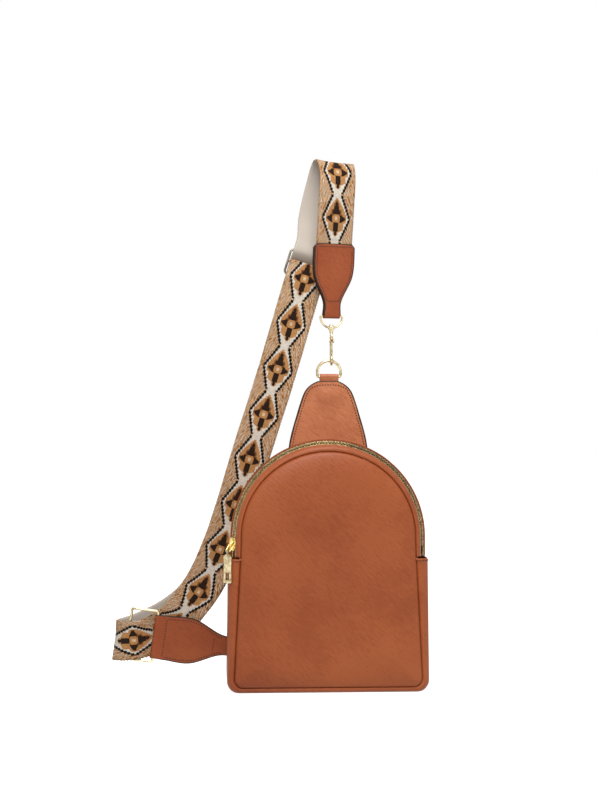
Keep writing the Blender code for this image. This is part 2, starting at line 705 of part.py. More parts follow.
def make_gate():
    """The sprung gate that shuts the hook, with an eye round its pin."""
    pivot = Vector((HOOK_X, TAB_Y - HOOK_HALF_WIDTH, GATE_TOP))
    made = add(wire([pivot, pivot.lerp(Vector((pivot.x, pivot.y, GATE_FOOT)), 0.5),
                     Vector((pivot.x, pivot.y, GATE_FOOT))], GATE_WIRE), "hook_gate", pale_gold)
    combine(made, [cylinder(pivot, (1, 0, 0), 1.5 * MM, GATE_WIRE, 16)], "UNION")
    return combine(made, [cylinder(pivot, (1, 0, 0), GATE_PIN / 2 + FIT, 12 * MM, 16)], "DIFFERENCE")


def make_gate_pin():
    pivot = Vector((HOOK_X, TAB_Y - HOOK_HALF_WIDTH, GATE_TOP))
    return add(cylinder(pivot, (1, 0, 0), GATE_PIN / 2, 5.2 * MM, 12), "gate_pin", pale_gold)


# The strap's own leather ends and metal


def make_upper_end_tab():
    """One piece of leather folded round the eye's bar and up both faces of the strap's end."""
    lean = Vector((3 * MM, 0, END_TAB_TOP - EYE_HEIGHT)).normalized()
    leg = (STRAP + END_TAB) / 2 + FIT
    radius = EYE_WIRE / 2 + FIT + END_TAB / 2
    normal = Vector((math.sin(STRAP_YAW), -math.cos(STRAP_YAW), 0))
    rise = END_TAB_TOP - EYE_HEIGHT
    shares = [1, 0.86, 0.72, 0.6, 0.5, 0.4, 0.3, 0.2, 0.1]
    places = [(rise * share, leg) for share in shares]
    places += [(-b, a) for a, b in arc((0, 0), radius, 0, 180, 8)]
    places += [(rise * share, -leg) for share in reversed(shares)]
    path, widths = [], []
    for up, out in places:
        path.append(EYE_PLACE + lean * up + normal * out)
        widths.append(blended(up, [
            (0, END_TAB_NECK), (rise * 0.2, END_TAB_NECK), (rise * 0.56, END_TAB_WIDTH * 0.93),
            (rise, END_TAB_WIDTH),
        ]))
    return add(ribbon(path, [YAW_ACROSS] * len(path), widths, END_TAB), "upper_end_tab", tan_leather)


DOWN = Vector((-math.sin(STRAP_LEAN), 0, -math.cos(STRAP_LEAN)))
LEAN_ACROSS = Vector((math.cos(STRAP_LEAN), 0, -math.sin(STRAP_LEAN)))
WRAP = ADJUSTER_WIRE / 2 + FIT + STRAP / 2  # the strap's middle line round an adjuster bar
LAYER = STRAP + 0.7 * MM  # from one of the strap's layers to the next


def near_adjuster(down, back):
    """A place on the strap's middle line, from the middle of the adjuster's middle bar."""
    return ADJUSTER_CENTRE + DOWN * down + Vector((0, back, 0))


def routed(stops, step):
    """The route through stops of (place, direction across), as like pairs about a step apart."""
    places = smooth_curve([place for place, across in stops], step)
    made = []
    number = 0
    for place in places:
        while number < len(stops) - 2 and (place - stops[number + 1][0]).dot(
            stops[number + 1][0] - stops[number][0]
        ) > 0 and (place - stops[number + 1][0]).length < (place - stops[number][0]).length:
            number += 1
        a, b = stops[number], stops[number + 1]
        span = b[0] - a[0]
        share = min(1, max(0, (place - a[0]).dot(span) / span.length_squared))
        made.append((place, a[1].lerp(b[1], share)))
    return made


def across_mm(x, y, z, a, b, c):
    """A stop on the strap's route, in millimetres, and its direction across."""
    return Vector((x, y, z)) * MM, Vector((a, b, c))


def strap_route():
    """The strap's middle line, from its sewn end in the upper tab to its tail behind the adjuster."""
    lean = LEAN_ACROSS
    down_behind = [
        (EYE_PLACE + Vector((1, 0, 26)) * MM, YAW_ACROSS),
        (EYE_PLACE + Vector((3, 0, 75.6)) * MM, YAW_ACROSS),
        (Vector((HOOK_X + 5.5 * MM, TAB_Y + 0.6 * MM, 500 * MM)), YAW_ACROSS),
        (Vector((HOOK_X + 7 * MM, TAB_Y + 4 * MM, 530 * MM)), YAW_ACROSS),
        across_mm(13.5, 56, 545, 0.96, 0.2, -0.08),
        across_mm(9, 66, 541, 0.975, 0.08, -0.15),
        across_mm(3, 70.5, 520, 0.975, 0, -0.2),
        across_mm(-4.4, 69, 488, 0.97, 0, -0.23),
        (near_adjuster(-28 * MM, 3 * MM), lean),
        (near_adjuster(-ADJUSTER_BAR_GAP, -WRAP), lean),
        (near_adjuster(0, WRAP + LAYER), lean),
        (near_adjuster(ADJUSTER_BAR_GAP, -WRAP), lean),
        (near_adjuster(30 * MM, -3.6 * MM), lean),
        (Vector((-50.5, 54.5, 317.2)) * MM, lean),
        (Vector((-74.8, 53, 241.2)) * MM, lean),
        (Vector((-98, 53.5, 165.3)) * MM, lean),
        across_mm(-113, 56, 123, 0.9, 0, -0.43),
        across_mm(-133, 59, 88, 0.75, 0, -0.66),
        across_mm(-160, 61, 65, 0.5, 0, -0.86),
        across_mm(-192, 61, 49, 0.25, 0, -0.97),
        across_mm(-209, 58, 44, 0.05, 0, -1),
        across_mm(-218, 49, 42, -0.15, 0, -0.99),
        across_mm(-210, 39.5, 42.5, -0.15, 0, -0.99),
        across_mm(-198, 36.6, 43.5, -0.15, 0, -0.99),
        across_mm(-187, 41.6, 45, -0.1, 0, -0.99),
        across_mm(-176, 47.4, 48.5, 0.1, 0, -0.99),
        across_mm(-158, 48.8, 60, 0.45, 0, -0.89),
        across_mm(-140, 49, 80, 0.74, 0, -0.67),
        across_mm(-126.5, 49, 99, 0.83, 0, -0.55),
        across_mm(-113, 48.6, 126, 0.9, 0, -0.43),
        (Vector((-98, 47.6, 165.3)) * MM, lean),
        (Vector((-74.8, 47.5, 241.2)) * MM, lean),
        (Vector((-50.5, 48.4, 317.2)) * MM, lean),
        (near_adjuster(30 * MM, -8.9 * MM), lean),
        (near_adjuster(ADJUSTER_BAR_GAP, -WRAP - 2 * LAYER), lean),
        (near_adjuster(4 * MM, -WRAP - 0.8 * MM), lean),
    ]
    wrapped = [(near_adjuster(-a, b), lean) for a, b in arc((0, 0), WRAP, -90, 90, 8)]
    tail = [
        (near_adjuster(4 * MM, 1.2 * MM), lean),
        (near_adjuster(ADJUSTER_BAR_GAP, -WRAP - LAYER), lean),
        (near_adjuster(27 * MM, -WRAP - LAYER - 0.8 * MM), lean),
    ]
    return routed(down_behind, 4 * MM) + wrapped + routed(tail, 3 * MM)


def make_strap():
    route = strap_route()
    path = [place for place, across in route]
    return add(ribbon(path, [across for place, across in route], [STRAP_WIDTH] * len(path), STRAP),
               "strap", jacquard)


def make_adjuster():
    """The sliding adjuster: a wire frame with a middle bar, which the strap's end is sewn round."""
    across_half = STRAP_WIDTH / 2 + 0.8 * MM + ADJUSTER_WIRE / 2
    places = rounded_loop(2 * across_half, 2 * ADJUSTER_BAR_GAP, 3 * MM)
    points = [ADJUSTER_CENTRE + LEAN_ACROSS * a + DOWN * b for a, b in places]
    made = add(wire(points, ADJUSTER_WIRE, closed=True), "strap_adjuster", pale_gold)
    bar = cylinder(ADJUSTER_CENTRE, LEAN_ACROSS, ADJUSTER_WIRE / 2 - 0.02 * MM, 2 * across_half, 12)
    return combine(made, [bar], "UNION")


# The lower ring and the tab that holds it to the bag's left side

LOWER_ALONG = Vector((math.cos(LOWER_TAB_LEAN), 0, -math.sin(LOWER_TAB_LEAN)))
LOWER_ACROSS = Vector((math.sin(LOWER_TAB_LEAN), 0, math.cos(LOWER_TAB_LEAN)))
LOWER_FOLD = Vector((LOWER_TAB_FOLD_X, LOWER_TAB_Y, LOWER_TAB_FOLD_Z))
LOWER_BAR = LOWER_RING_WIRE / 2 + FIT + END_TAB  # the ring's held bar, in from the fold's outside


def make_lower_tab():
    """One piece of leather folded round the ring's bar, both leaves running in to the back panel."""
    leg = (END_TAB + FIT) / 2
    radius = LOWER_RING_WIRE / 2 + FIT + END_TAB / 2
    length = LOWER_TAB_LENGTH
    shares = [1, 0.85, 0.76, 0.68, 0.6, 0.52, 0.42, 0.3, 0.2, 0.13]
    places = [(length * share, -leg) for share in shares]
    places += [(LOWER_BAR + a, b) for a, b in arc((0, 0), radius, -90, -270, 8)]
    places += [(length * share, leg) for share in reversed(shares)]
    path, widths = [], []
    for along, back in places:
        path.append(LOWER_FOLD + LOWER_ALONG * along + Vector((0, back, 0)))
        widths.append(blended(along, [
            (0, LOWER_TAB_WIDTH - 1 * MM), (length * 0.15, LOWER_TAB_WIDTH), (length * 0.44, LOWER_TAB_WIDTH),
            (length * 0.76, LOWER_TAB_NECK), (length, LOWER_TAB_NECK),
        ]))
    return add(ribbon(path, [LOWER_ACROSS] * len(path), widths, END_TAB), "lower_end_tab", tan_leather)


def make_lower_ring():
    places = rounded_loop(LOWER_RING_WIDTH, LOWER_RING_LENGTH, 2.5 * MM)
    middle = LOWER_FOLD + LOWER_ALONG * (LOWER_BAR - LOWER_RING_WIDTH / 2)
    points = [middle + LOWER_ALONG * a + LOWER_ACROSS * b for a, b in places]
    return add(wire(points, LOWER_RING_WIRE, closed=True), "lower_ring", pale_gold)


make_front_panel()
make_back_panel()
make_lower_gusset()
make_zip_tape("zip_tape_front", -1)
make_zip_tape("zip_tape_rear", 1)
make_zip_teeth("zip_teeth_front", -1)
make_zip_teeth("zip_teeth_rear", 1)
make_front_facing()
make_rear_facing()
make_lining()
make_slider()
make_pull_link()
make_pull_tab()
make_top_tab("top_tab_front", BACK_Y + FIT)
make_top_tab("top_tab_back", TAB_Y + FIT / 2 + RING_LOOP + FIT)
make_ring_loop()
make_top_ring()
make_snap_eye()
make_hook()
make_gate()
make_gate_pin()
make_upper_end_tab()
make_strap()
make_adjuster()
make_lower_tab()
make_lower_ring()
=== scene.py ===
import math

import bmesh
import bpy
from mathutils import Matrix, Vector, noise
from mathutils.kdtree import KDTree


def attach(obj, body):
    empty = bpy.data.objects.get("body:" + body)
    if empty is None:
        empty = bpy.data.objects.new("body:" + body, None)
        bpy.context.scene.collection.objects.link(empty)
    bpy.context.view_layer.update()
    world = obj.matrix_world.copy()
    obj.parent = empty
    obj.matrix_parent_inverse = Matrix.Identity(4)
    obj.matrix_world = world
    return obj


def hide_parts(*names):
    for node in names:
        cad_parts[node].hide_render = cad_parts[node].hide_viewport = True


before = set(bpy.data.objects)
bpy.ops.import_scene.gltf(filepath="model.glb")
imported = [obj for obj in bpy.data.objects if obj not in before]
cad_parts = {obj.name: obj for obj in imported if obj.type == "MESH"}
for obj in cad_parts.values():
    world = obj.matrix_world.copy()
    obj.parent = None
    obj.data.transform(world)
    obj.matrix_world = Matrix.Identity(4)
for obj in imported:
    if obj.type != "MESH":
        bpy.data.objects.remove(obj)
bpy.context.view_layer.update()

MM = 0.001
LEATHER = 1.5 * MM
FIT = 0.3 * MM  # the gap kept between pieces that only touch
WAVE_PERIOD = 0.314  # of a wave texture at a scale of 1


# The lining: a plain woven cloth bag, sewn in under both zip tapes. It is hidden while the zip is
# shut, so its CAD piece stays, with the cloth's own finish.
def linear(code):
    """A colour written as sRGB hex, in linear values."""
    parts = [int(code[i:i + 2], 16) / 255 for i in (0, 2, 4)]
    return [*(c / 12.92 if c <= 0.04045 else ((c + 0.055) / 1.055) ** 2.4 for c in parts), 1.0]


def add_node(tree, kind, inputs=None, output=0, stops=(), **settings):
    """Add a shader node. An input is a plain value or what another node gives out. A colour ramp
    has stops of (place, colour), and then the settings are its own."""
    made = tree.nodes.new("ShaderNode" + kind)
    owner = made.color_ramp if stops else made
    for name, value in settings.items():
        setattr(owner, name, value)
    while stops and len(owner.elements) < len(stops):
        owner.elements.new(0.5)
    for number, (place, colour) in enumerate(stops):
        owner.elements[number].position = place
        owner.elements[number].color = colour
    for name, value in (inputs or {}).items():
        if isinstance(value, bpy.types.NodeSocket):
            tree.links.new(value, made.inputs[name])
        else:
            made.inputs[name].default_value = value
    return made.outputs[output]


def start_material(name, **sockets):
    """A new material with its shader's own sockets set, as (material, its nodes, its shader)."""
    made = bpy.data.materials.new(name)
    made.use_nodes = True
    shader = made.node_tree.nodes["Principled BSDF"]
    for socket, value in sockets.items():
        shader.inputs[socket.replace("_", " ")].default_value = value
    return made, made.node_tree, shader


# Polyester lining cloth: plain weave, matt, threads 0.5 mm apart drawn at 0.8 mm so that they show.
lining_cloth, tree, shader = start_material("polyester_lining", Roughness=0.85)
where = add_node(tree, "TexCoord", output="Object")
threads = add_node(tree, "TexWave", {
    "Vector": where, "Scale": WAVE_PERIOD / (0.8 * MM), "Distortion": 0.6,
}, output="Fac")
dyed = add_node(tree, "ValToRGB", {"Fac": threads}, stops=[(0.0, linear("4A3426")), (1.0, linear("6B4F3B"))])
tree.links.new(dyed, shader.inputs["Base Color"])
bumped = add_node(tree, "Bump", {"Height": threads, "Strength": 0.3, "Distance": 0.1 * MM})
tree.links.new(bumped, shader.inputs["Normal"])
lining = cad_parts["lining"]
lining.data.materials.clear()
lining.data.materials.append(lining_cloth)

# The front and back panels: two arched pieces of imitation leather, cut wider at the foot. The front
# one is puffed out from its seam, with the dents of a soft bag; the back one lies flat.
FRONT_Y = -39.7 * MM
BACK_Y = 39.7 * MM
ARCH_HEIGHT = 156 * MM
SPLIT_HEIGHT = 136 * MM
PANEL_ARCH_HALF = 87.5 * MM
PANEL_RISE = 86 * MM
PANEL_TOP_HALF = 88 * MM
PANEL_BASE_HALF = 94.3 * MM
PANEL_FOOT = 6 * MM
CORNER = 12 * MM
ROLL = 7 * MM
PUFF = 7.5 * MM
SEAM_DIP = 1.8 * MM  # how far the leather is pulled in at a seam
TURN_IN = 3 * MM
SEAM_FLANGE = 4 * MM  # how far a rolled edge goes on behind its seam
ARCH_STEPS = 120
SEAM_PLACES = 4000


def arc(centre, radius, start, end, steps):
    """Places on an arc, in degrees, with the first place left out."""
    turns = [math.radians(start + (end - start) * (i + 1) / steps) for i in range(steps)]
    return [(centre[0] + radius * math.cos(a), centre[1] + radius * math.sin(a)) for a in turns]


def crown(half, rise, foot, foot_half):
    """Up the left side from the foot, over the arch and down the right side, as (x, z)."""
    left = [(-foot_half + (foot_half - half) * i / 8, foot + (ARCH_HEIGHT - foot) * i / 8) for i in range(8)]
    arched = []
    for i in range(ARCH_STEPS + 1):
        angle = math.pi * (1 - i / ARCH_STEPS)
        arched.append((half * math.cos(angle), ARCH_HEIGHT + rise * math.sin(angle)))
    return left + arched + [(-x, z) for x, z in reversed(left)]


def trough(top_half, base_half, top, base, corner):
    """Down the left side, round the corner, along the base and up the right side, as (x, z)."""
    drop = top - base - corner
    left = [(-top_half - (base_half - top_half) * i / 30, top - drop * i / 30) for i in range(31)]
    left += arc((-base_half + corner, base + corner), corner, 180, 270, 8)
    left += [((-base_half + corner) * (1 - i / 24), base) for i in range(1, 24)]
    return left + [(0, base)] + [(-x, z) for x, z in reversed(left)]


def panel_outline(inset):
    """The panel's closed outline at a distance in from its seam."""
    half = PANEL_TOP_HALF - inset
    over = crown(PANEL_ARCH_HALF - inset, PANEL_RISE - inset, SPLIT_HEIGHT, half)
    corner = max(CORNER - ROLL / 2 - inset / 3, 2 * MM)
    under = trough(half, PANEL_BASE_HALF - inset, SPLIT_HEIGHT, PANEL_FOOT + inset, corner)
    return over + under[::-1][1:-1]


def new_corners(grown):
    """The corners among what an extrusion has made."""
    return [item for item in grown if isinstance(item, bmesh.types.BMVert)]


def draw_through(rows, ring=False, caps=False):
    """A surface through rows of points, extruded from each row to the next."""
    bm = bmesh.new()
    row = [bm.verts.new(point) for point in rows[0]]
    if caps:
        bm.faces.new(row)
    ends = row[1:] + row[:1] if ring else row[1:]
    edges = [bm.edges.get(pair) or bm.edges.new(pair) for pair in zip(row, ends)]
    for points in rows[1:]:
        grown = bmesh.ops.extrude_edge_only(bm, edges=edges)["geom"]
        fresh = set(new_corners(grown))
        following = []
        for vert, point in zip(row, points):
            mate = next(e.other_vert(vert) for e in vert.link_edges if e.other_vert(vert) in fresh)
            mate.co = point
            following.append(mate)
        row = following
        ends = row[1:] + row[:1] if ring else row[1:]
        edges = [bm.edges.get(pair) for pair in zip(row, ends)]
    if caps:
        bm.faces.new(row)
    return bm


def put_piece(bm, name, finishes, body="bag", stands_for=(), outward=None):
    """Make a bmesh a piece of the object. Its farthest face in the direction outward looks that way."""
    if outward is None:
        bmesh.ops.recalc_face_normals(bm, faces=bm.faces)
    else:
        bm.normal_update()
        farthest = max(bm.faces, key=lambda face: face.calc_center_median().dot(outward))
        if farthest.normal.dot(outward) < 0:
            bmesh.ops.reverse_faces(bm, faces=bm.faces)
    mesh = bpy.data.meshes.new(name)
    bm.to_mesh(mesh)
    bm.free()
    for finish in finishes:
        mesh.materials.append(finish)
    mesh.shade_smooth()
    made = bpy.data.objects.new(name, mesh)
    bpy.context.scene.collection.objects.link(made)
    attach(made, body)
    if stands_for:
        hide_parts(*stands_for)
    return made


def thicken(piece, thickness, offset=-1.0, back=0, rim=0, smooth=1):
    """Give a sheet its thickness, then round it off."""
    step = piece.modifiers.new("thickness", "SOLIDIFY")
    step.thickness = thickness
    step.offset = offset
    step.material_offset = back
    step.material_offset_rim = rim
    if smooth:
        rounder = piece.modifiers.new("rounding", "SUBSURF")
        rounder.levels = rounder.render_levels = smooth


# Polyurethane imitation leather on cloth: satin, embossed with a fine grain about 1 mm across, pulled
# into slanting creases 2 mm apart where it is stretched. Its colour is darkened by painted shade in
# the creases' hollows.
def leather(name, shades, crease_depth):
    """Imitation leather in three shades, with creases of a depth."""
    made, tree, shader = start_material(name, Coat_Weight=0.03, Coat_Roughness=0.35, Specular_IOR_Level=0.26)
    where = add_node(tree, "TexCoord", output="Object")
    slanting = add_node(tree, "Mapping", {
        "Vector": where, "Rotation": (0, math.radians(40), 0), "Scale": (7 * MM, 2.2 * MM, 1.9 * MM),
    }, vector_type="TEXTURE")
    creases = add_node(tree, "TexNoise", {
        "Vector": slanting, "Scale": 1.0, "Detail": 3.0, "Roughness": 0.55, "Distortion": 0.6,
    }, output="Fac")
    patches = add_node(tree, "TexNoise", {"Vector": where, "Scale": 16.0, "Detail": 2.0}, output="Fac")
    patched = add_node(tree, "MapRange", {
        "Value": patches, "From Min": 0.35, "From Max": 0.65, "To Min": 0.45,
    })
    creased = add_node(tree, "Math", {0: creases, 1: patched}, operation="MULTIPLY")
    grain = add_node(tree, "TexVoronoi", {"Vector": where, "Scale": 1 / (1.1 * MM)}, output="Distance")
    pores = add_node(tree, "TexNoise", {
        "Vector": where, "Scale": 1 / (0.6 * MM), "Detail": 2.0,
    }, output="Fac")
    broad = add_node(tree, "TexNoise", {"Vector": where, "Scale": 7.0, "Detail": 3.0}, output="Fac")
    toned = [(place, linear(code)) for place, code in zip((0.35, 0.5, 0.65), shades)]
    base = add_node(tree, "ValToRGB", {"Fac": broad}, stops=toned)
    # Painted shade: the colour is darkened where the creases are lowest, in their hollows.
    painted_crease_shade = add_node(tree, "ValToRGB", {"Fac": creased}, stops=[
        (0.12, linear("E2D2C5")), (0.42, linear("FFFFFF")),
    ])
    mixed = add_node(tree, "Mix", {
        0: 1.0, 6: base, 7: painted_crease_shade,
    }, output=2, data_type="RGBA", blend_type="MULTIPLY")
    tree.links.new(mixed, shader.inputs["Base Color"])
    gloss = add_node(tree, "MapRange", {"Value": pores, "To Min": 0.36, "To Max": 0.54})
    tree.links.new(gloss, shader.inputs["Roughness"])
    bumped = add_node(tree, "Bump", {"Height": creased, "Strength": 0.9, "Distance": crease_depth})
    bumped = add_node(tree, "Bump", {
        "Height": grain, "Strength": 0.35, "Distance": 0.15 * MM, "Normal": bumped,
    })
    bumped = add_node(tree, "Bump", {
        "Height": pores, "Strength": 0.2, "Distance": 0.1 * MM, "Normal": bumped,
    })
    tree.links.new(bumped, shader.inputs["Normal"])
    return made


tan_leather = leather("polyurethane_leather", ("964C26", "9A4F28", "A0542B"), 0.65 * MM)

seam_places = KDTree(SEAM_PLACES)
closed_seam = panel_outline(0)
for number in range(SEAM_PLACES):
    place = number / SEAM_PLACES * len(closed_seam)
    start, end = closed_seam[int(place)], closed_seam[(int(place) + 1) % len(closed_seam)]
    part = place - int(place)
    x = start[0] + (end[0] - start[0]) * part
    seam_places.insert((x, 0, start[1] + (end[1] - start[1]) * part), number)
seam_places.balance()


def panel_half(z):
    """Half the panel's width at a height."""
    round_end = PANEL_FOOT + CORNER - ROLL / 2
    if z >= ARCH_HEIGHT:
        return PANEL_ARCH_HALF * math.sqrt(max(0.0, 1 - ((z - ARCH_HEIGHT) / PANEL_RISE) ** 2))
    if z >= SPLIT_HEIGHT:
        share = (z - SPLIT_HEIGHT) / (ARCH_HEIGHT - SPLIT_HEIGHT)
        return PANEL_TOP_HALF + (PANEL_ARCH_HALF - PANEL_TOP_HALF) * share
    share = (z - round_end) / (SPLIT_HEIGHT - round_end)
    half = PANEL_BASE_HALF + (PANEL_TOP_HALF - PANEL_BASE_HALF) * max(0.0, share)
    if z < round_end:
        bend = CORNER - ROLL / 2
        half += math.sqrt(max(0.0, bend**2 - (round_end - z) ** 2)) - bend
    return half


def panel_rows(face):
    """Rows of places over a panel, closer together at its edges, each as deep as its face says."""
    made = []
    for i in range(151):
        share = (1 - math.cos(math.pi * i / 150)) / 2
        z = PANEL_FOOT + (ARCH_HEIGHT + PANEL_RISE - 0.02 * MM - PANEL_FOOT) * share
        row = []
        for k in range(81):
            x = panel_half(z) * math.sin(math.pi / 2 * (k / 40 - 1))
            inset = 0.0 if k in (0, 80) or i == 0 else seam_places.find((x, 0, z))[2]
            row.append(Vector((x, face(inset, x, z), z)))
        made.append(row)
    return made


def front_face(inset, x, z):
    """The front's outer face: puffed from the seam, with the dents of a soft bag."""
    fade = min(1.0, inset / (30 * MM))
    broad = noise.noise(Vector((x * 14, 3.1, z * 14)))
    dents = broad * 1.1 + noise.noise(Vector((x * 34, 9.4, z * 30))) * 0.35
    puffed = PUFF * (1 - math.exp(-inset / (17 * MM)))
    return FRONT_Y - puffed - dents * MM * fade + SEAM_DIP * math.exp(-inset / (0.9 * MM))


def back_face(inset, x, z):
    """The back's outer face: flat, pulled in at the seam."""
    slack = 0.3 * MM * min(1, inset / (10 * MM)) * noise.noise(Vector((x * 20, 1, z * 20)))
    return BACK_Y + slack - SEAM_DIP * 0.6 * math.exp(-inset / (0.9 * MM))


def turned_in(bm, toward):
    """The panel with its edge turned in behind the seam."""
    edge = [e for e in bm.edges if e.is_boundary]
    grown = bmesh.ops.extrude_edge_only(bm, edges=edge)["geom"]
    bmesh.ops.translate(bm, vec=(0, toward * TURN_IN, 0), verts=new_corners(grown))
    return bm


front_panel = put_piece(turned_in(draw_through(panel_rows(front_face)), 1), "front_leather", [tan_leather],
                        stands_for=["front_panel"], outward=Vector((0, -1, 0)))
thicken(front_panel, LEATHER, smooth=0)
back_panel = put_piece(turned_in(draw_through(panel_rows(back_face)), -1), "back_leather", [tan_leather],
                       stands_for=["back_panel"], outward=Vector((0, 1, 0)))
thicken(back_panel, LEATHER, smooth=0)

# The side panel: one strip of the same leather, down the left side, under the base and up the right.
# It is rolled over at both seams, and its two top ends are turned in over the zip's ends and stitched.
SHOULDER_HALF = 100.5 * MM
BASE_HALF = 102 * MM
ROLL_STEPS = 8


def rolled(seam, side, y_seam, toward):
    """A quarter roll from a seam out to the side, dipped at the seam."""
    made = [Vector((seam.x, y_seam + toward * SEAM_FLANGE, seam.z))]
    for i in range(ROLL_STEPS + 1):
        angle = math.pi / 2 * i / ROLL_STEPS
        place = seam.lerp(side, math.sin(angle))
        place.y = y_seam + toward * (ROLL * (1 - math.cos(angle)) + 1.3 * SEAM_DIP * math.exp(-i * 1.2))
        made.append(place)
    return made


sides = trough(SHOULDER_HALF, BASE_HALF, SPLIT_HEIGHT, 0, CORNER)
seams = trough(PANEL_TOP_HALF, PANEL_BASE_HALF, SPLIT_HEIGHT, PANEL_FOOT, CORNER - ROLL / 2)
rows = []
for (sx, sz), (ox, oz) in zip(seams, sides):
    seam, side = Vector((sx, 0, sz)), Vector((ox, 0, oz))
    row = rolled(seam, side, FRONT_Y, 1) + rolled(seam, side, BACK_Y, -1)[::-1]
    depth = BACK_Y - FRONT_Y - 2 * ROLL
    flat = []
    for i in range(1, 16):
        y = FRONT_Y + ROLL + depth * i / 16
        belly = 0.6 * MM * math.sin(math.pi * i / 16) * noise.noise(Vector((ox * 12, y * 12, oz * 12)))
        outward = Vector((math.copysign(1, ox), 0, 0)) if oz > CORNER else Vector((0, 0, 0))
        flat.append(Vector((ox, y, oz)) + outward * belly)
    rows.append(row[:ROLL_STEPS + 2] + flat + row[ROLL_STEPS + 2:])
for end in (0, -1):
    turned = []
    for point in rows[end]:
        inward = math.copysign(1.9 * MM, point.x)
        turned.append(Vector((point.x - inward, point.y * 0.985, point.z - TURN_IN)))
    if end == 0:
        rows.insert(0, turned)
    else:
        rows.append(turned)
side_panel = put_piece(draw_through(rows), "side_leather", [tan_leather], stands_for=["lower_gusset"],
                       outward=Vector((1, 0, 0)))
thicken(side_panel, LEATHER)

# The zip: two brown woven tapes and two rows of antique brass teeth, over the arch at 45 degrees
# between the front and the side. Each tooth is cast round its tape's cord and passes between the
# other row's teeth.
ZIP_RADIUS = 94.5 * MM
ZIP_Y = FRONT_Y + 10 * MM
SLANT = math.sqrt(0.5)
QUARTER = ZIP_RADIUS * math.pi / 2
ZIP_FOOT = SPLIT_HEIGHT + FIT
TOOTH_PITCH = 3 * MM
TOOTH_END = 143 * MM  # the teeth go on into the side panel's mouth


def zip_station(place):
    """The arch's centre line and the outward direction at a length from the crown."""
    angle = max(-math.pi / 2, min(math.pi / 2, place / ZIP_RADIUS))
    below = max(0.0, abs(place) - QUARTER)
    return Vector((0, 0, ARCH_HEIGHT - below)), Vector((math.sin(angle), 0, math.cos(angle)))


def on_zip(place, across, out):
    """The place at a length along the zip, across its tapes and out from its face."""
    foot, radial = zip_station(place)
    reach = ZIP_RADIUS + (across + out) * SLANT
    return foot + radial * reach + Vector((0, ZIP_Y + (across - out) * SLANT, 0))


def zip_places():
    """Places along the zip, from its left end, over the crown, to its right end."""
    end = QUARTER + ARCH_HEIGHT - ZIP_FOOT
    legs = [QUARTER + (end - QUARTER) * i / 8 for i in range(1, 9)]
    arched = [QUARTER * (2 * i / ARCH_STEPS - 1) for i in range(ARCH_STEPS + 1)]
    return [-leg for leg in reversed(legs)] + arched + legs


# Woven polyester tape: matt, with a fine rib drawn 0.8 mm apart.
zip_tape, tree, shader = start_material("polyester_zip_tape", Roughness=0.9)
where = add_node(tree, "TexCoord", output="Object")
ribs = add_node(tree, "TexWave", {
    "Vector": where, "Scale": WAVE_PERIOD / (0.8 * MM), "Distortion": 1.0,
}, output="Fac")
dyed = add_node(tree, "ValToRGB", {"Fac": ribs}, stops=[(0.0, linear("1E130C")), (1.0, linear("3A2418"))])
tree.links.new(dyed, shader.inputs["Base Color"])
bumped = add_node(tree, "Bump", {"Height": ribs, "Strength": 0.4, "Distance": 0.1 * MM})
tree.links.new(bumped, shader.inputs["Normal"])
for name in ("zip_tape_front", "zip_tape_rear"):
    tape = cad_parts[name]
    tape.data.materials.clear()
    tape.data.materials.append(zip_tape)

# Antique brass: cast, darkly stained in patches and rubbed bright between them.
antique_brass, tree, shader = start_material("antique_brass", Metallic=1.0)
where = add_node(tree, "TexCoord", output="Object")
stain = add_node(tree, "TexNoise", {"Vector": where, "Scale": 1 / (2.2 * MM), "Detail": 2.0}, output="Fac")
stained = add_node(tree, "ValToRGB", {"Fac": stain}, stops=[
    (0.3, linear("7A6442")), (0.5, linear("A58B60")), (0.68, linear("D0B98C")),
])
tree.links.new(stained, shader.inputs["Base Color"])
rubbed = add_node(tree, "MapRange", {"Value": stain, "To Min": 0.45, "To Max": 0.25})
tree.links.new(rubbed, shader.inputs["Roughness"])


def join_in(bm, added):
    """Add one bmesh's shape to another."""
    mesh = bpy.data.meshes.new("joined")
    added.to_mesh(mesh)
    added.free()
    bm.from_mesh(mesh)
    bpy.data.meshes.remove(mesh)


for side, name in ((-1, "zip_teeth_front"), (1, "zip_teeth_rear")):
    bm = bmesh.new()
    count = int((QUARTER + ARCH_HEIGHT - TOOTH_END) / TOOTH_PITCH)
    for number in range(-count, count):
        place = number * TOOTH_PITCH + (TOOTH_PITCH / 2 if side > 0 else 0)
        middle = on_zip(place, 0, 0)
        ahead = (on_zip(place + 1 * MM, 0, 0) - on_zip(place - 1 * MM, 0, 0)).normalized()
        across = (on_zip(place, side * 1 * MM, 0) - middle).normalized()
        turn = Matrix((ahead, across, ahead.cross(across))).transposed().to_4x4()
        for near, far, long, tall in ((0.9, 2.7, 1.3, 2.1), (-0.1, 1.0, 1.5, 2.2)):
            shape = Matrix.Diagonal((long * MM, (far - near) * MM, tall * MM, 1))
            place_at = Matrix.Translation(middle + across * (near + far) / 2 * MM)
            bmesh.ops.create_cube(bm, size=1, matrix=place_at @ turn @ shape)
    bmesh.ops.bevel(bm, geom=list(bm.edges), offset=0.28 * MM, segments=1, profile=0.5, affect="EDGES",
                    material=-1)
    cord = []
    for place in zip_places():
        corners = ((2.6, -0.5), (1.5, -0.5), (1.5, 0.5), (2.6, 0.5))
        cord.append([on_zip(place, side * across * MM, out * MM) for across, out in corners])
    first = len(bm.faces)
    join_in(bm, draw_through(cord, ring=True, caps=True))
    bm.faces.ensure_lookup_table()
    for face in bm.faces[first:]:
        face.material_index = 1
    teeth = put_piece(bm, name + "_cast", [antique_brass, zip_tape], stands_for=[name])
    teeth.data.set_sharp_from_angle(angle=math.radians(30))

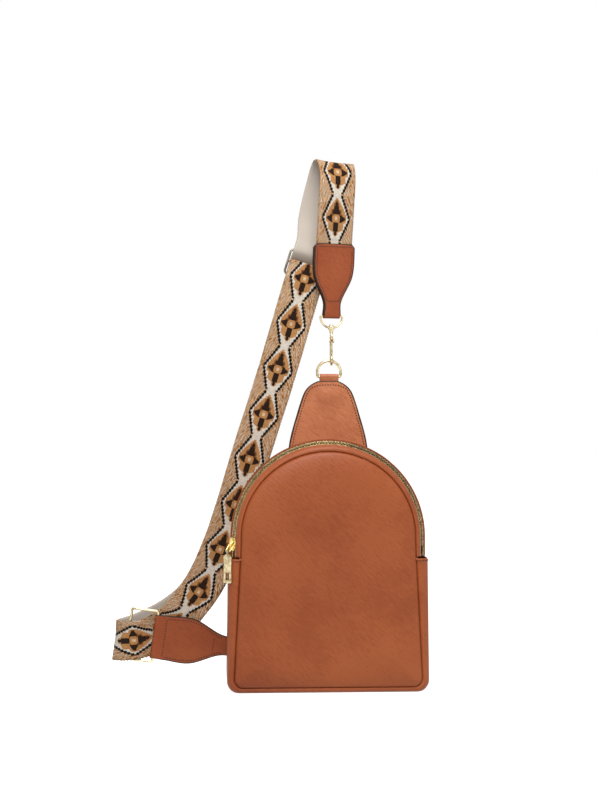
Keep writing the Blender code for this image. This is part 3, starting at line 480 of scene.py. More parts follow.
# The zip's leather facings: a narrow rolled strip between the front seam and the zip, and a wide
# gusset behind the zip that runs back to the rear seam. Each is turned under along the teeth.
FACING_EDGE = 4.8 * MM
TOOTH_HEIGHT = 2.2 * MM
BACK_DROP = 4 * MM
LIP = 3.1 * MM  # from the zip's middle to the soft edge that lies against its teeth

rows = []
for place, (x, z) in zip(zip_places(), crown(PANEL_ARCH_HALF, PANEL_RISE, ZIP_FOOT, PANEL_TOP_HALF)):
    seam = Vector((x, FRONT_Y, z))
    edge = on_zip(place, -LIP, TOOTH_HEIGHT / 2 + 0.2 * MM)
    row = [seam + Vector((0, SEAM_FLANGE, 0))]
    for i in range(11):
        angle = math.pi / 2 * i / 10
        over = Vector((edge.x - seam.x, 0, edge.z - seam.z)) * math.sin(angle)
        behind = Vector((0, edge.y - seam.y, 0)) * (1 - math.cos(angle))
        row.append(seam + over + behind + Vector((0, SEAM_DIP * math.exp(-i * 1.3), 0)))
    row.append(on_zip(place, -LIP + 0.1 * MM, TOOTH_HEIGHT / 2 + 0.05 * MM))
    row.append(on_zip(place, -LIP - TURN_IN, TOOTH_HEIGHT / 2))
    rows.append(row)
front_facing = put_piece(draw_through(rows), "front_facing_leather", [tan_leather],
                         stands_for=["front_zip_facing"], outward=Vector((-1, -1, 0)))
thicken(front_facing, 0.9 * MM)

top = ZIP_RADIUS + (FACING_EDGE + FIT) * SLANT
back = top - BACK_DROP
rows = []
for place in zip_places():
    foot, radial = zip_station(place)
    edge = on_zip(place, FACING_EDGE, 0)
    lip = ((4.4, 0.3), (3.2, 0.35), (3.3, 0.75), (4.5, 0.6))
    row = [on_zip(place, across * MM, out * MM) for across, out in lip]
    marks = [(top, edge.y + 2.5 * MM), (top, edge.y + 6 * MM), (top - 0.4 * MM, -8 * MM), (top - 1 * MM, 0),
             (top - BACK_DROP / 2, 12 * MM), (top - 3 * MM, 22 * MM), (back, BACK_Y - ROLL),
             (back - 0.5 * MM, BACK_Y - ROLL * 0.7), (back - 1.6 * MM, BACK_Y - ROLL * 0.35),
             (back - 3.4 * MM, BACK_Y - ROLL * 0.12), (PANEL_RISE + 2.4 * MM, BACK_Y - 0.1 * MM),
             (PANEL_RISE + 1.8 * MM, BACK_Y - SEAM_DIP), (PANEL_RISE + 1.5 * MM, BACK_Y - 5 * MM)]
    for radius, y in marks:
        loose = 0.5 * MM * noise.noise(Vector((place * 14, y * 16, 4.2))) if abs(y) < 30 * MM else 0
        row.append(foot + radial * (radius + loose) + Vector((0, y, 0)))
    rows.append(row)
rear_facing = put_piece(draw_through(rows), "rear_gusset_leather", [tan_leather],
                        stands_for=["rear_zip_facing"], outward=Vector((-1, 0, 0)))
thicken(rear_facing, 1.2 * MM)

# The slider: two cast plates round the teeth, joined by a post between the rows, with a bridge on top
# for the pull. It is plated in bright yellow metal, and stands at the zip's left end.
SLIDER_HEIGHT = 149.5 * MM
SLIDER_BORE = 1.6 * MM
SLIDER_PLATE = 1.1 * MM
LINK_WIRE = 1.3 * MM
LINK_TILT = math.radians(43)
LINK_WIDTH = 7.4 * MM
LINK_OUT = SLIDER_BORE + SLIDER_PLATE + FIT + LINK_WIRE / 2
LINK_TOP = SLIDER_HEIGHT - 0.5 * MM
LINK_REACH = 9.7 * MM - LINK_WIRE
SLIDER_OUT = Vector((-SLANT, -SLANT, 0))
SLIDER_ACROSS = Vector((-SLANT, SLANT, 0))


def on_slider(across, out, height):
    """The place across the slider, out from the zip's face and at a height."""
    return Vector((-(ZIP_RADIUS + (across + out) * SLANT), ZIP_Y + (across - out) * SLANT, height))


def slab(bm, outline, depth, soften=0.0):
    """Add a plate of an outline and a depth, with softened edges."""
    face = bm.faces.new([bm.verts.new(point) for point in outline])
    fresh = new_corners(bmesh.ops.extrude_face_region(bm, geom=[face])["geom"])
    bmesh.ops.translate(bm, vec=depth, verts=fresh)
    whole = set(fresh) | set(face.verts)
    if soften:
        edges = [e for e in bm.edges if e.verts[0] in whole and e.verts[1] in whole]
        bmesh.ops.bevel(bm, geom=edges, offset=soften, segments=2, profile=0.5, affect="EDGES",
                        material=-1, clamp_overlap=True)


def bend_wire(bm, points, thickness, closed=False, sides=14):
    """Add a round wire bent along points."""
    count = len(points)
    turns = [2 * math.pi * k / sides for k in range(sides)]
    side = None
    rows = []
    for i, point in enumerate(points):
        after = points[(i + 1) % count] if closed or i + 1 < count else point
        before = points[i - 1] if closed or i > 0 else point
        ahead = (after - before).normalized()
        if side is None:
            side = ahead.orthogonal().normalized()
        side = (side - ahead * side.dot(ahead)).normalized()
        up = ahead.cross(side)
        rows.append([point + (side * math.cos(a) + up * math.sin(a)) * thickness / 2 for a in turns])
    if closed:
        rows.append(rows[0])
    made = draw_through(rows, ring=True, caps=not closed)
    if closed:
        bmesh.ops.remove_doubles(made, verts=made.verts, dist=0.001 * MM)
    join_in(bm, made)


def rounded_loop(width, height, radius):
    """A closed rectangle with round corners, as places about its centre."""
    places = []
    for side_a, side_b, start in ((1, 1, 0), (-1, 1, 90), (-1, -1, 180), (1, -1, 270)):
        centre = (side_a * (width / 2 - radius), side_b * (height / 2 - radius))
        turn = math.radians(start)
        places.append((centre[0] + radius * math.cos(turn), centre[1] + radius * math.sin(turn)))
        places += arc(centre, radius, start, start + 90, 6)
    return places


def metal(name, bright, dark, roughness):
    """A plated zinc casting: two shades that cloud into each other, and a gloss that goes with them."""
    made, tree, shader = start_material(name, Metallic=1.0)
    where = add_node(tree, "TexCoord", output="Object")
    cloud = add_node(tree, "TexNoise", {"Vector": where, "Scale": 1 / (6 * MM), "Detail": 2.0}, output="Fac")
    clouded = add_node(tree, "ValToRGB", {"Fac": cloud}, stops=[(0.38, linear(bright)), (0.7, linear(dark))])
    tree.links.new(clouded, shader.inputs["Base Color"])
    dulled = add_node(tree, "MapRange", {"Value": cloud, "To Min": roughness, "To Max": roughness + 0.14})
    tree.links.new(dulled, shader.inputs["Roughness"])
    return made


# Yellow gold plating: polished zinc, warm, and mirror-like.
yellow_gold = metal("yellow_gold_plating", "F0D488", "B08A42", 0.14)

bm = bmesh.new()
low = SLIDER_HEIGHT - 6.5 * MM
shape = [(-3.9, 0), (-4.3, 2.6), (-4.3, 9.5), (-3.6, 12.2), (-2.2, 13)]
shape += [(-a, h) for a, h in reversed(shape)]
for out in (SLIDER_BORE, -SLIDER_BORE - SLIDER_PLATE):
    slab(bm, [on_slider(a * MM, out, low + h * MM) for a, h in shape], SLIDER_OUT * SLIDER_PLATE, 0.3 * MM)
for side in (-1, 1):
    for out in (SLIDER_BORE - FIT, -SLIDER_BORE):
        flange = [on_slider(side * 4.3 * MM, out, low + h * MM) for h in (2.6, 9.5)]
        flange += [point - SLIDER_ACROSS * side * 0.7 * MM for point in reversed(flange)]
        slab(bm, flange, SLIDER_OUT * 0.4 * MM, 0.1 * MM)
corners = ((-0.8, 10.7), (0.8, 10.7), (0.8, 12.7), (-0.8, 12.7))
slab(bm, [on_slider(a * MM, -SLIDER_BORE, low + h * MM) for a, h in corners], SLIDER_OUT * SLIDER_BORE * 2)
crest = LINK_OUT + LINK_WIRE / 2 + 0.75 * MM
hump = [(SLIDER_BORE + 0.9 * MM, 3.4), (SLIDER_BORE + 1.6 * MM, 2.9), (LINK_OUT, 2.1)]
hump += [(crest - 0.3 * MM, 1.1)]
hump += [(crest, 0)] + [(out, -up) for out, up in reversed(hump)]
for side in (-0.65, 0, 0.65):
    bend_wire(bm, [on_slider(side * MM, out, LINK_TOP + up * MM) for out, up in hump], 0.95 * MM, sides=10)
slider = put_piece(bm, "slider_casting", [yellow_gold], "slider", ["zip_slider"])
slider.data.set_sharp_from_angle(angle=math.radians(40))

# The pull: a closed wire link through the slider's bridge, and a flat waisted tab cast with an eye at
# its head and a slot at its foot, in paler metal.
bm = bmesh.new()
points = []
for across, along in rounded_loop(LINK_WIDTH - LINK_WIRE, LINK_REACH, 1.5 * MM):
    down = LINK_REACH / 2 - along
    out = LINK_OUT + down * math.sin(LINK_TILT)
    points.append(on_slider(across, out, LINK_TOP - down * math.cos(LINK_TILT)))
bend_wire(bm, points, LINK_WIRE, closed=True)
put_piece(bm, "pull_link_wire", [yellow_gold], "link", ["pull_link"])

# Pale gold plating: polished zinc with a champagne tone.
pale_gold = metal("pale_gold_plating", "DCCDA6", "8A764E", 0.16)

PULL_OUT = LINK_OUT + LINK_REACH * math.sin(LINK_TILT)
PULL_TOP = LINK_TOP - LINK_REACH * math.cos(LINK_TILT)
PULL_HALF = 0.8 * MM
bm = bmesh.new()
left = [(-1.1, 0.4), (-1.1, 2.6), (-4.4, 4.4), (-5.28, 6), (-5.1, 10), (-4.84, 18), (-5.1, 25), (-5.5, 28),
        (-5.5, 30.8), (-4.4, 32)]
rim = left + [(-a, d) for a, d in reversed(left)]
slot = [(-2.6, 21.5), (2.6, 21.5), (2.6, 29), (-2.6, 29)]
outer = [bm.verts.new(on_slider(a * MM, PULL_OUT - PULL_HALF, PULL_TOP - d * MM)) for a, d in rim]
inner = [bm.verts.new(on_slider(a * MM, PULL_OUT - PULL_HALF, PULL_TOP - d * MM)) for a, d in slot]
edges = [bm.edges.new(pair) for loop in (outer, inner) for pair in zip(loop, loop[1:] + loop[:1])]
bmesh.ops.triangle_fill(bm, edges=edges, use_beauty=True)
bmesh.ops.dissolve_limit(bm, angle_limit=0.01, verts=bm.verts, edges=bm.edges)
grown = bmesh.ops.extrude_face_region(bm, geom=list(bm.faces))["geom"]
bmesh.ops.translate(bm, vec=SLIDER_OUT * 2 * PULL_HALF, verts=new_corners(grown))
bmesh.ops.recalc_face_normals(bm, faces=bm.faces)
sharp = [e for e in bm.edges if len(e.link_faces) == 2 and e.calc_face_angle(0) > 0.9]
bmesh.ops.bevel(bm, geom=sharp, offset=0.25 * MM, segments=2, profile=0.5, affect="EDGES", material=-1,
                clamp_overlap=True)
centre = on_slider(0, PULL_OUT, PULL_TOP)
radius = LINK_WIRE / 2 + 0.7 * MM
ring = []
for i in range(24):
    angle = 2 * math.pi * i / 24
    ring.append(centre + SLIDER_OUT * math.cos(angle) * radius + Vector((0, 0, math.sin(angle) * radius)))
for shift in (-1.15, -0.4, 0.4, 1.15):
    bend_wire(bm, [point + SLIDER_ACROSS * shift * MM for point in ring], 0.8 * MM, closed=True, sides=8)
pull = put_piece(bm, "pull_tab_plate", [pale_gold], "tab", ["pull_tab"])
pull.data.set_sharp_from_angle(angle=math.radians(40))

# The top tab: two bell-shaped pieces of leather, sewn together round the ring's loop and down behind
# the bag. Their cut edges are painted dark, and a brown thread runs just inside them.
TAB_X = 5 * MM
TAB_TOP = 313 * MM
TAB_FOOT = 232 * MM
TAB_FRONT = BACK_Y + FIT
TAB_BACK = 44.8 * MM
TAB_STITCH = 2.6 * MM  # from the edge to the stitches
STITCH_GAP = 2.8 * MM
STITCH_LENGTH = 1.6 * MM
THREAD = 1.3 * MM
HEM_STITCH_DROP = 3.4 * MM


def between(a, slope_a, b, slope_b, span, t):
    """The place at a share t of a smooth curve from a to b, whose slopes are given."""
    return (a * (2 * t**3 - 3 * t**2 + 1) + slope_a * (t**3 - 2 * t**2 + t) * span
            + b * (3 * t**2 - 2 * t**3) + slope_b * (t**3 - t**2) * span)


def eased(value, marks):
    """The size at a place between marks of (place, size), on a smooth curve through them."""
    last = len(marks) - 1
    slopes = []
    for i in range(last + 1):
        low, high = marks[max(i - 1, 0)], marks[min(i + 1, last)]
        slopes.append((high[1] - low[1]) / (high[0] - low[0]))
    i = max(k for k in range(last) if value >= marks[k][0] or k == 0)
    span = marks[i + 1][0] - marks[i][0]
    t = max(0.0, min(1.0, (value - marks[i][0]) / span))
    return between(marks[i][1], slopes[i], marks[i + 1][1], slopes[i + 1], span, t)


# The tab has its own copy of the same leather: paler and more coarsely creased.
pale_leather = leather("pale_polyurethane_leather", ("B56E49", "BF7852", "C7835E"), 0.8 * MM)


def tab_half(height):
    """Half the tab's width at a height."""
    return eased(height, [
        (TAB_FOOT, 42 * MM), (254 * MM, 38.8 * MM), (280 * MM, 31.6 * MM), (298 * MM, 25.8 * MM),
        (305 * MM, 22 * MM), (310 * MM, 16.5 * MM), (TAB_TOP, 10.5 * MM),
    ])


def tab_swell(x, z):
    """How far the tab stands out over the ends of the loop inside it."""
    over = math.exp(-((x - 6 * MM) / (11 * MM)) ** 4) * math.exp(-((z - 299 * MM) / (9 * MM)) ** 2)
    return (2.2 * over + 0.25 * noise.noise(Vector((x * 60, 2.0, z * 60)))) * MM


# Edge paint: rubbery, near black, laid on thick over the cut leather.
edge_paint, tree, shader = start_material("acrylic_edge_paint", Specular_IOR_Level=0.2)
where = add_node(tree, "TexCoord", output="Object")
uneven = add_node(tree, "TexNoise", {"Vector": where, "Scale": 1 / (3 * MM), "Detail": 3.0}, output="Fac")
painted = add_node(tree, "ValToRGB", {"Fac": uneven}, stops=[
    (0.3, linear("22150F")), (0.7, linear("3A271E")),
])
tree.links.new(painted, shader.inputs["Base Color"])
dulled = add_node(tree, "MapRange", {"Value": uneven, "To Min": 0.45, "To Max": 0.6})
tree.links.new(dulled, shader.inputs["Roughness"])

# Bonded polyester thread: twisted, dark reddish brown, slightly waxy.
brown_thread, tree, shader = start_material("bonded_brown_thread", Roughness=0.55)
where = add_node(tree, "TexCoord", output="Object")
twist = add_node(tree, "TexWave", {
    "Vector": where, "Scale": WAVE_PERIOD / (0.5 * MM), "Distortion": 2.0,
}, output="Fac")
dyed = add_node(tree, "ValToRGB", {"Fac": twist}, stops=[(0.2, linear("220E08")), (0.9, linear("42200F"))])
tree.links.new(dyed, shader.inputs["Base Color"])
bumped = add_node(tree, "Bump", {"Height": twist, "Strength": 0.5, "Distance": 0.08 * MM})
tree.links.new(bumped, shader.inputs["Normal"])


def spaced(points):
    """Points a stitch's gap apart along a line, each with the line's direction."""
    made, left_over = [], STITCH_GAP / 2
    for a, b in zip(points, points[1:]):
        span = (b - a).length
        place = left_over
        while place < span:
            made.append((a.lerp(b, place / span), (b - a).normalized()))
            place += STITCH_GAP
        left_over = place - span
    return made


def sew(bm, points):
    """Add a row of stitches along points that lie on the leather."""
    for place, ahead in spaced(points):
        turn = Vector((0, 0, 1)).rotation_difference(ahead).to_matrix().to_4x4()
        shape = Matrix.Diagonal((THREAD / 2, THREAD / 2, STITCH_LENGTH / 2, 1))
        bmesh.ops.create_uvsphere(bm, u_segments=6, v_segments=4, radius=1,
                                  matrix=Matrix.Translation(place) @ turn @ shape)


# The side panel's two hems are sewn with the same thread.
for side, name in ((-1, "left"), (1, "right")):
    bm = bmesh.new()
    height = SPLIT_HEIGHT - HEM_STITCH_DROP
    turns = [math.radians(12 + 6 * i) for i in range(14)]
    line = [Vector((
        side * (PANEL_TOP_HALF + 0.2 * MM + (SHOULDER_HALF - PANEL_TOP_HALF) * math.sin(a)),
        FRONT_Y - 0.15 * MM + ROLL * (1 - math.cos(a)), height,
    )) for a in turns]
    line += [Vector((side * (SHOULDER_HALF + 0.25 * MM), y * MM, height)) for y in range(-32, 33, 2)]
    sew(bm, line)
    put_piece(bm, name + "_hem_stitches", [brown_thread])

heights = [TAB_FOOT + (TAB_TOP - TAB_FOOT) * (1 - (1 - i / 60) ** 1.6) for i in range(61)]
for name, y, toward in (("top_tab_front", TAB_FRONT, -1), ("top_tab_back", TAB_BACK, 1)):
    rows = []
    for height in heights:
        row = []
        for k in range(33):
            x = TAB_X + tab_half(height) * math.sin(math.pi / 2 * (k / 16 - 1))
            face = y if toward < 0 else y + LEATHER
            row.append(Vector((x, face + toward * tab_swell(x, height), height)))
        rows.append(row)
    tab = put_piece(draw_through(rows), name + "_leather", [pale_leather, edge_paint], stands_for=[name],
                    outward=Vector((0, toward, 0)))
    thicken(tab, LEATHER, rim=1)
    bm = bmesh.new()
    middle = y + LEATHER / 2
    edge = [Vector((TAB_X - tab_half(height), middle, height)) for height in heights]
    edge += [Vector((2 * TAB_X - point.x, middle, point.z)) for point in reversed(edge)]
    bend_wire(bm, edge, LEATHER + 0.4 * MM, sides=8)
    put_piece(bm, name + "_painted_edge", [edge_paint])
    line = []
    for i in range(81):
        height = TAB_FOOT + (TAB_TOP - 3 * MM - TAB_FOOT) * i / 80
        line.append((TAB_X - tab_half(height) + TAB_STITCH, height))
    line = line[:78] + [(TAB_X - 10 * MM, TAB_TOP - 3.4 * MM), (TAB_X, TAB_TOP - 3 * MM)]
    line += [(2 * TAB_X - x, z) for x, z in reversed(line[:-1])]
    bm = bmesh.new()
    face = y - 0.12 * MM if toward < 0 else y + LEATHER + 0.12 * MM
    sew(bm, [Vector((x, face + toward * tab_swell(x, z), z)) for x, z in line])
    put_piece(bm, name + "_stitches", [brown_thread])

# The ring's loop: a short strip of leather folded round the ring's bar. Both its ends go down between
# the two top tabs, where they are sewn in.
RING_X = 6 * MM
RING_WIRE = 3 * MM
RING_BAR = 318.5 * MM
RING_LOOP = 1.2 * MM
TAB_Y = 43.15 * MM
leg = (RING_LOOP + FIT) / 2
front = [(-28 * MM, -leg), (-14 * MM, -leg), (-5 * MM, -leg)]
radius = RING_WIRE / 2 + FIT + RING_LOOP / 2
path = front + [(-b, -a) for a, b in [(radius, 0)] + arc((0, 0), radius, 0, -180, 14)]
path += [(a, -b) for a, b in reversed(front)]
rows = []
for up, out in path:
    rows.append([Vector((RING_X + 10 * MM * k / 6, TAB_Y + out, RING_BAR + up)) for k in range(-6, 7)])
loop = put_piece(draw_through(rows), "ring_loop_leather", [pale_leather, edge_paint],
                 stands_for=["ring_loop"], outward=Vector((0, -1, 0)))
thicken(loop, RING_LOOP, offset=0.0, rim=1)

# The ring: a D of polished pale wire. Its straight bar lies in the loop, and its round side goes
# through the bow of the snap hook.
RING_HALF = 12.3 * MM
RING_RISE = 16.8 * MM
RING_CORNER = 2 * MM
spring = RING_BAR + RING_RISE - RING_HALF
places = [(RING_HALF, spring)] + arc((0, spring), RING_HALF, 0, 180, 32)
low = RING_BAR + RING_CORNER
places += [(-RING_HALF, low)] + arc((-RING_HALF + RING_CORNER, low), RING_CORNER, 180, 270, 5)
places += [(RING_HALF - RING_CORNER, RING_BAR)]
places += arc((RING_HALF - RING_CORNER, low), RING_CORNER, 270, 360, 5)
bm = bmesh.new()
bend_wire(bm, [Vector((RING_X + x, TAB_Y, z)) for x, z in places], RING_WIRE, closed=True)
put_piece(bm, "top_ring_wire", [pale_gold], "ring", ["top_ring"])

# The snap hook: a cast hook with a gate on a pin, which turns in the collar of a half-round eye. It
# stands edge on to the bag's front, with its gate on the front side.
HOOK_X = 8.5 * MM
HOOK_HALF = 4.8 * MM
HOOK_WIRE = 2.8 * MM
SHOULDER = 360 * MM
EYE_HEIGHT = 382.4 * MM
EYE_DROP = 12.6 * MM
COLLAR = EYE_HEIGHT - EYE_DROP
YAW = math.radians(20)
YAW_ACROSS = Vector((math.cos(YAW), math.sin(YAW), 0))
EYE_PLACE = Vector((HOOK_X, TAB_Y, EYE_HEIGHT))
EYE_WIRE = 2.2 * MM
EYE_HALF = 12.5 * MM
EYE_CORNER = 1.6 * MM
GATE_WIRE = 2.2 * MM
GATE_TOP = SHOULDER - 4 * MM
HOOK_SLACK = 1.1 * MM  # between the hook's bow and the ring
HOOK_FOOT = RING_BAR + RING_RISE - RING_WIRE / 2 - HOOK_SLACK - HOOK_WIRE / 2


def add_bar(bm, centre, axis, radius, length, soften=0.2 * MM):
    """Add a short round bar with softened rims."""
    turn = Vector((0, 0, 1)).rotation_difference(Vector(axis)).to_matrix().to_4x4()
    made = bmesh.ops.create_cone(bm, cap_ends=True, segments=24, radius1=radius, radius2=radius, depth=length,
                                 matrix=Matrix.Translation(centre) @ turn)["verts"]
    rims = [e for e in bm.edges if e.verts[0] in made and e.verts[1] in made
            and any(len(face.verts) > 4 for face in e.link_faces)]
    bmesh.ops.bevel(bm, geom=rims, offset=soften, segments=2, profile=0.5, affect="EDGES", material=-1)


places = [(-EYE_HALF + EYE_CORNER, 0)] + arc((-EYE_HALF + EYE_CORNER, -EYE_CORNER), EYE_CORNER, 90, 180, 5)
for i in range(1, 24):
    angle = math.pi * i / 24
    places.append((-EYE_HALF * math.cos(angle), -EYE_CORNER - (EYE_DROP - EYE_CORNER) * math.sin(angle)))
places += [(EYE_HALF, -EYE_CORNER)] + arc((EYE_HALF - EYE_CORNER, -EYE_CORNER), EYE_CORNER, 0, 90, 5)
bm = bmesh.new()
bend_wire(bm, [EYE_PLACE + YAW_ACROSS * a + Vector((0, 0, b)) for a, b in places], EYE_WIRE, closed=True)
add_bar(bm, Vector((HOOK_X, TAB_Y, COLLAR)), (0, 0, 1), 3.4 * MM, 4 * MM, soften=0.7 * MM)
put_piece(bm, "snap_eye_casting", [pale_gold], "eye", ["snap_eye"])

bend = HOOK_FOOT + HOOK_HALF
places = [(-HOOK_HALF, GATE_TOP + FIT), (-HOOK_HALF, SHOULDER)]
places += arc((0, SHOULDER), HOOK_HALF, 180, 0, 16)
places += [(HOOK_HALF, SHOULDER - 8 * MM), (HOOK_HALF, bend + 6 * MM), (HOOK_HALF, bend)]
places += arc((0, bend), HOOK_HALF, 0, -180, 16)
places += [(-HOOK_HALF, bend + 3.4 * MM)]
bm = bmesh.new()
bend_wire(bm, [Vector((HOOK_X, TAB_Y + y, z)) for y, z in places], HOOK_WIRE)
add_bar(bm, Vector((HOOK_X, TAB_Y, SHOULDER + HOOK_HALF + 1.6 * MM)), (0, 0, 1), 2.2 * MM, 2.6 * MM)
add_bar(bm, Vector((HOOK_X, TAB_Y, COLLAR + 3.1 * MM)), (0, 0, 1), 2.3 * MM, 1.6 * MM, soften=0.5 * MM)
for side in (-1, 1):
    add_bar(bm, Vector((HOOK_X + side * 2.0 * MM, TAB_Y - HOOK_HALF, GATE_TOP)), (1, 0, 0), 2 * MM, 1.2 * MM)
put_piece(bm, "snap_hook_casting", [pale_gold], "hook", ["snap_hook", "gate_pin"])
bm = bmesh.new()
drops = (-1.2, 0, 5, 10, GATE_TOP / MM - bend / MM - 5)
bend_wire(bm, [Vector((HOOK_X, TAB_Y - HOOK_HALF, GATE_TOP - d * MM)) for d in drops], GATE_WIRE)
put_piece(bm, "hook_gate_wire", [pale_gold], "gate", ["hook_gate"])

# The strap's upper end: one bottle-shaped piece of leather, folded round the eye's bar and sewn up
# both faces of the webbing. Its edges are painted, and its neck has a cross row of stitches.
STRAP = 1.8 * MM
END_TAB = 1.3 * MM
END_RISE = 75.6 * MM
LEAN = Vector((3 * MM, 0, END_RISE)).normalized()
YAW_FRONT = Vector((math.sin(YAW), -math.cos(YAW), 0))
NECK, WIDE = 18 * MM, 45 * MM
END_CORNER = 3 * MM
END_STITCH = 2.4 * MM  # from the edge to the stitches

# The two end tabs have their own copy of the same leather: smooth and darker.
smooth_leather = leather("smooth_polyurethane_leather", ("8B4320", "914623", "994F2A"), 0.15 * MM)


def end_width(up):
    """The tab's width at a length up from the eye's bar."""
    return eased(up, [(0, NECK), (END_RISE * 0.2, NECK), (END_RISE * 0.56, WIDE * 0.93), (END_RISE, WIDE)])


leg = (STRAP + END_TAB) / 2 + FIT
bow = EYE_WIRE / 2 + FIT + END_TAB / 2
ups = [END_RISE * (1 - i / 40) for i in range(37)]
path = [(up, leg) for up in ups] + [(0, bow)] + [(b, a) for a, b in arc((0, 0), bow, 0, -180, 12)]
path += [(up, -leg) for up in reversed(ups)]
rows = []
for up, out in path:
    half = end_width(up) / 2
    if up > END_RISE - END_CORNER:
        half -= END_CORNER - math.sqrt(max(0.0, END_CORNER**2 - (up - END_RISE + END_CORNER) ** 2))
    swell = 0.5 * MM * math.copysign(1, out) * min(1, up / (20 * MM))
    row = []
    for k in range(21):
        share = math.sin(math.pi / 2 * (k / 10 - 1))
        row.append(EYE_PLACE + LEAN * up + YAW_ACROSS * half * share
                   + YAW_FRONT * (out + swell * (1 - share**2)))
    rows.append(row)
end_tab = put_piece(draw_through(rows), "upper_end_leather", [smooth_leather, edge_paint],
                    stands_for=["upper_end_tab"], outward=YAW_FRONT)
thicken(end_tab, END_TAB, offset=0.0, rim=1)

bm = bmesh.new()
for toward in (1, -1):
    face = toward * (leg + END_TAB / 2 + 0.1 * MM)

    def on_end(up, across):
        """A place on one of the tab's two faces."""
        swell = 0.5 * MM * min(1, up / (20 * MM)) * (1 - (across / (end_width(up) / 2)) ** 2)
        return EYE_PLACE + LEAN * up + YAW_ACROSS * across + YAW_FRONT * (face + toward * swell)

    ups = [16 * MM + (END_RISE - 19 * MM) * i / 40 for i in range(41)]
    edge = [(up, end_width(up) / 2 - END_STITCH) for up in ups]
    sew(bm, [on_end(up, across) for up, across in edge])
    sew(bm, [on_end(up, -across) for up, across in edge])
    sew(bm, [on_end(END_RISE - 2.6 * MM, across * MM) for across in range(-19, 20)])
    sew(bm, [on_end(15.5 * MM, across * MM) for across in range(-7, 8)])
put_piece(bm, "upper_end_stitches", [brown_thread])
bm = bmesh.new()
for toward in (1, -1):
    rises = [END_RISE * i / 60 for i in range(58)]
    edge = [EYE_PLACE + LEAN * up - YAW_ACROSS * end_width(up) / 2 + YAW_FRONT * toward * leg for up in rises]
    edge += [EYE_PLACE + LEAN * (END_RISE - 0.3 * MM) + YAW_ACROSS * across + YAW_FRONT * toward * leg
             for across in (END_CORNER - WIDE / 2, WIDE / 2 - END_CORNER)]
    edge += [EYE_PLACE + LEAN * up + YAW_ACROSS * end_width(up) / 2 + YAW_FRONT * toward * leg
             for up in reversed(rises)]
    bend_wire(bm, edge, END_TAB + 0.5 * MM, sides=8)
put_piece(bm, "upper_end_painted_edge", [edge_paint])

# The strap: jacquard webbing 41 mm wide, backed with plain grey-beige tape. From its upper end it goes
# over behind, down through the sliding adjuster, round the lower ring, and up again to the adjuster's
# middle bar, where its end is sewn.
STRAP_LEAN = math.radians(17.3)
STRAP_WIDTH = 41 * MM
ADJUSTER_CENTRE = Vector((-15.3, 58, 435)) * MM
ADJUSTER_WIRE = 2.5 * MM
BAR_GAP = 13 * MM
DOWN = Vector((-math.sin(STRAP_LEAN), 0, -math.cos(STRAP_LEAN)))
LEAN_ACROSS = Vector((math.cos(STRAP_LEAN), 0, -math.sin(STRAP_LEAN)))
WRAP = ADJUSTER_WIRE / 2 + FIT + STRAP / 2
LAYER = STRAP + 0.7 * MM
LINE_STEP = 1.5 * MM
PATTERN_SLIP = 0.27
EDGE_WAVE = 0.45 * MM
WEFT = 3.1 * MM  # from wave to wave along the selvedge


def smooth_line(stops, gap):
    """Pairs of (place, direction across) a gap apart on a smooth curve through the stops."""
    along = [0.0]
    for (a, _), (b, _) in zip(stops, stops[1:]):
        along.append(along[-1] + (b - a).length)
    last = len(stops) - 1
    slopes = []
    for i in range(last + 1):
        low, high = max(i - 1, 0), min(i + 1, last)
        slopes.append((stops[high][0] - stops[low][0]) / (along[high] - along[low]))
    made = []
    for i in range(last):
        span = along[i + 1] - along[i]
        count = max(1, round(span / gap))
        for k in range(count):
            t = k / count
            place = between(stops[i][0], slopes[i], stops[i + 1][0], slopes[i + 1], span, t)
            made.append((place, stops[i][1].lerp(stops[i + 1][1], t)))
    made.append(stops[-1])
    return made


def by_adjuster(down, behind):
    """A stop on the strap's middle line, from the middle of the adjuster's middle bar."""
    return ADJUSTER_CENTRE + DOWN * down * MM + Vector((0, behind, 0)), LEAN_ACROSS


def stop(x, y, z, across=None):
    """A stop on the strap's middle line, in millimetres, with the direction across the strap."""
    return Vector((x, y, z)) * MM, Vector(across) if across else LEAN_ACROSS


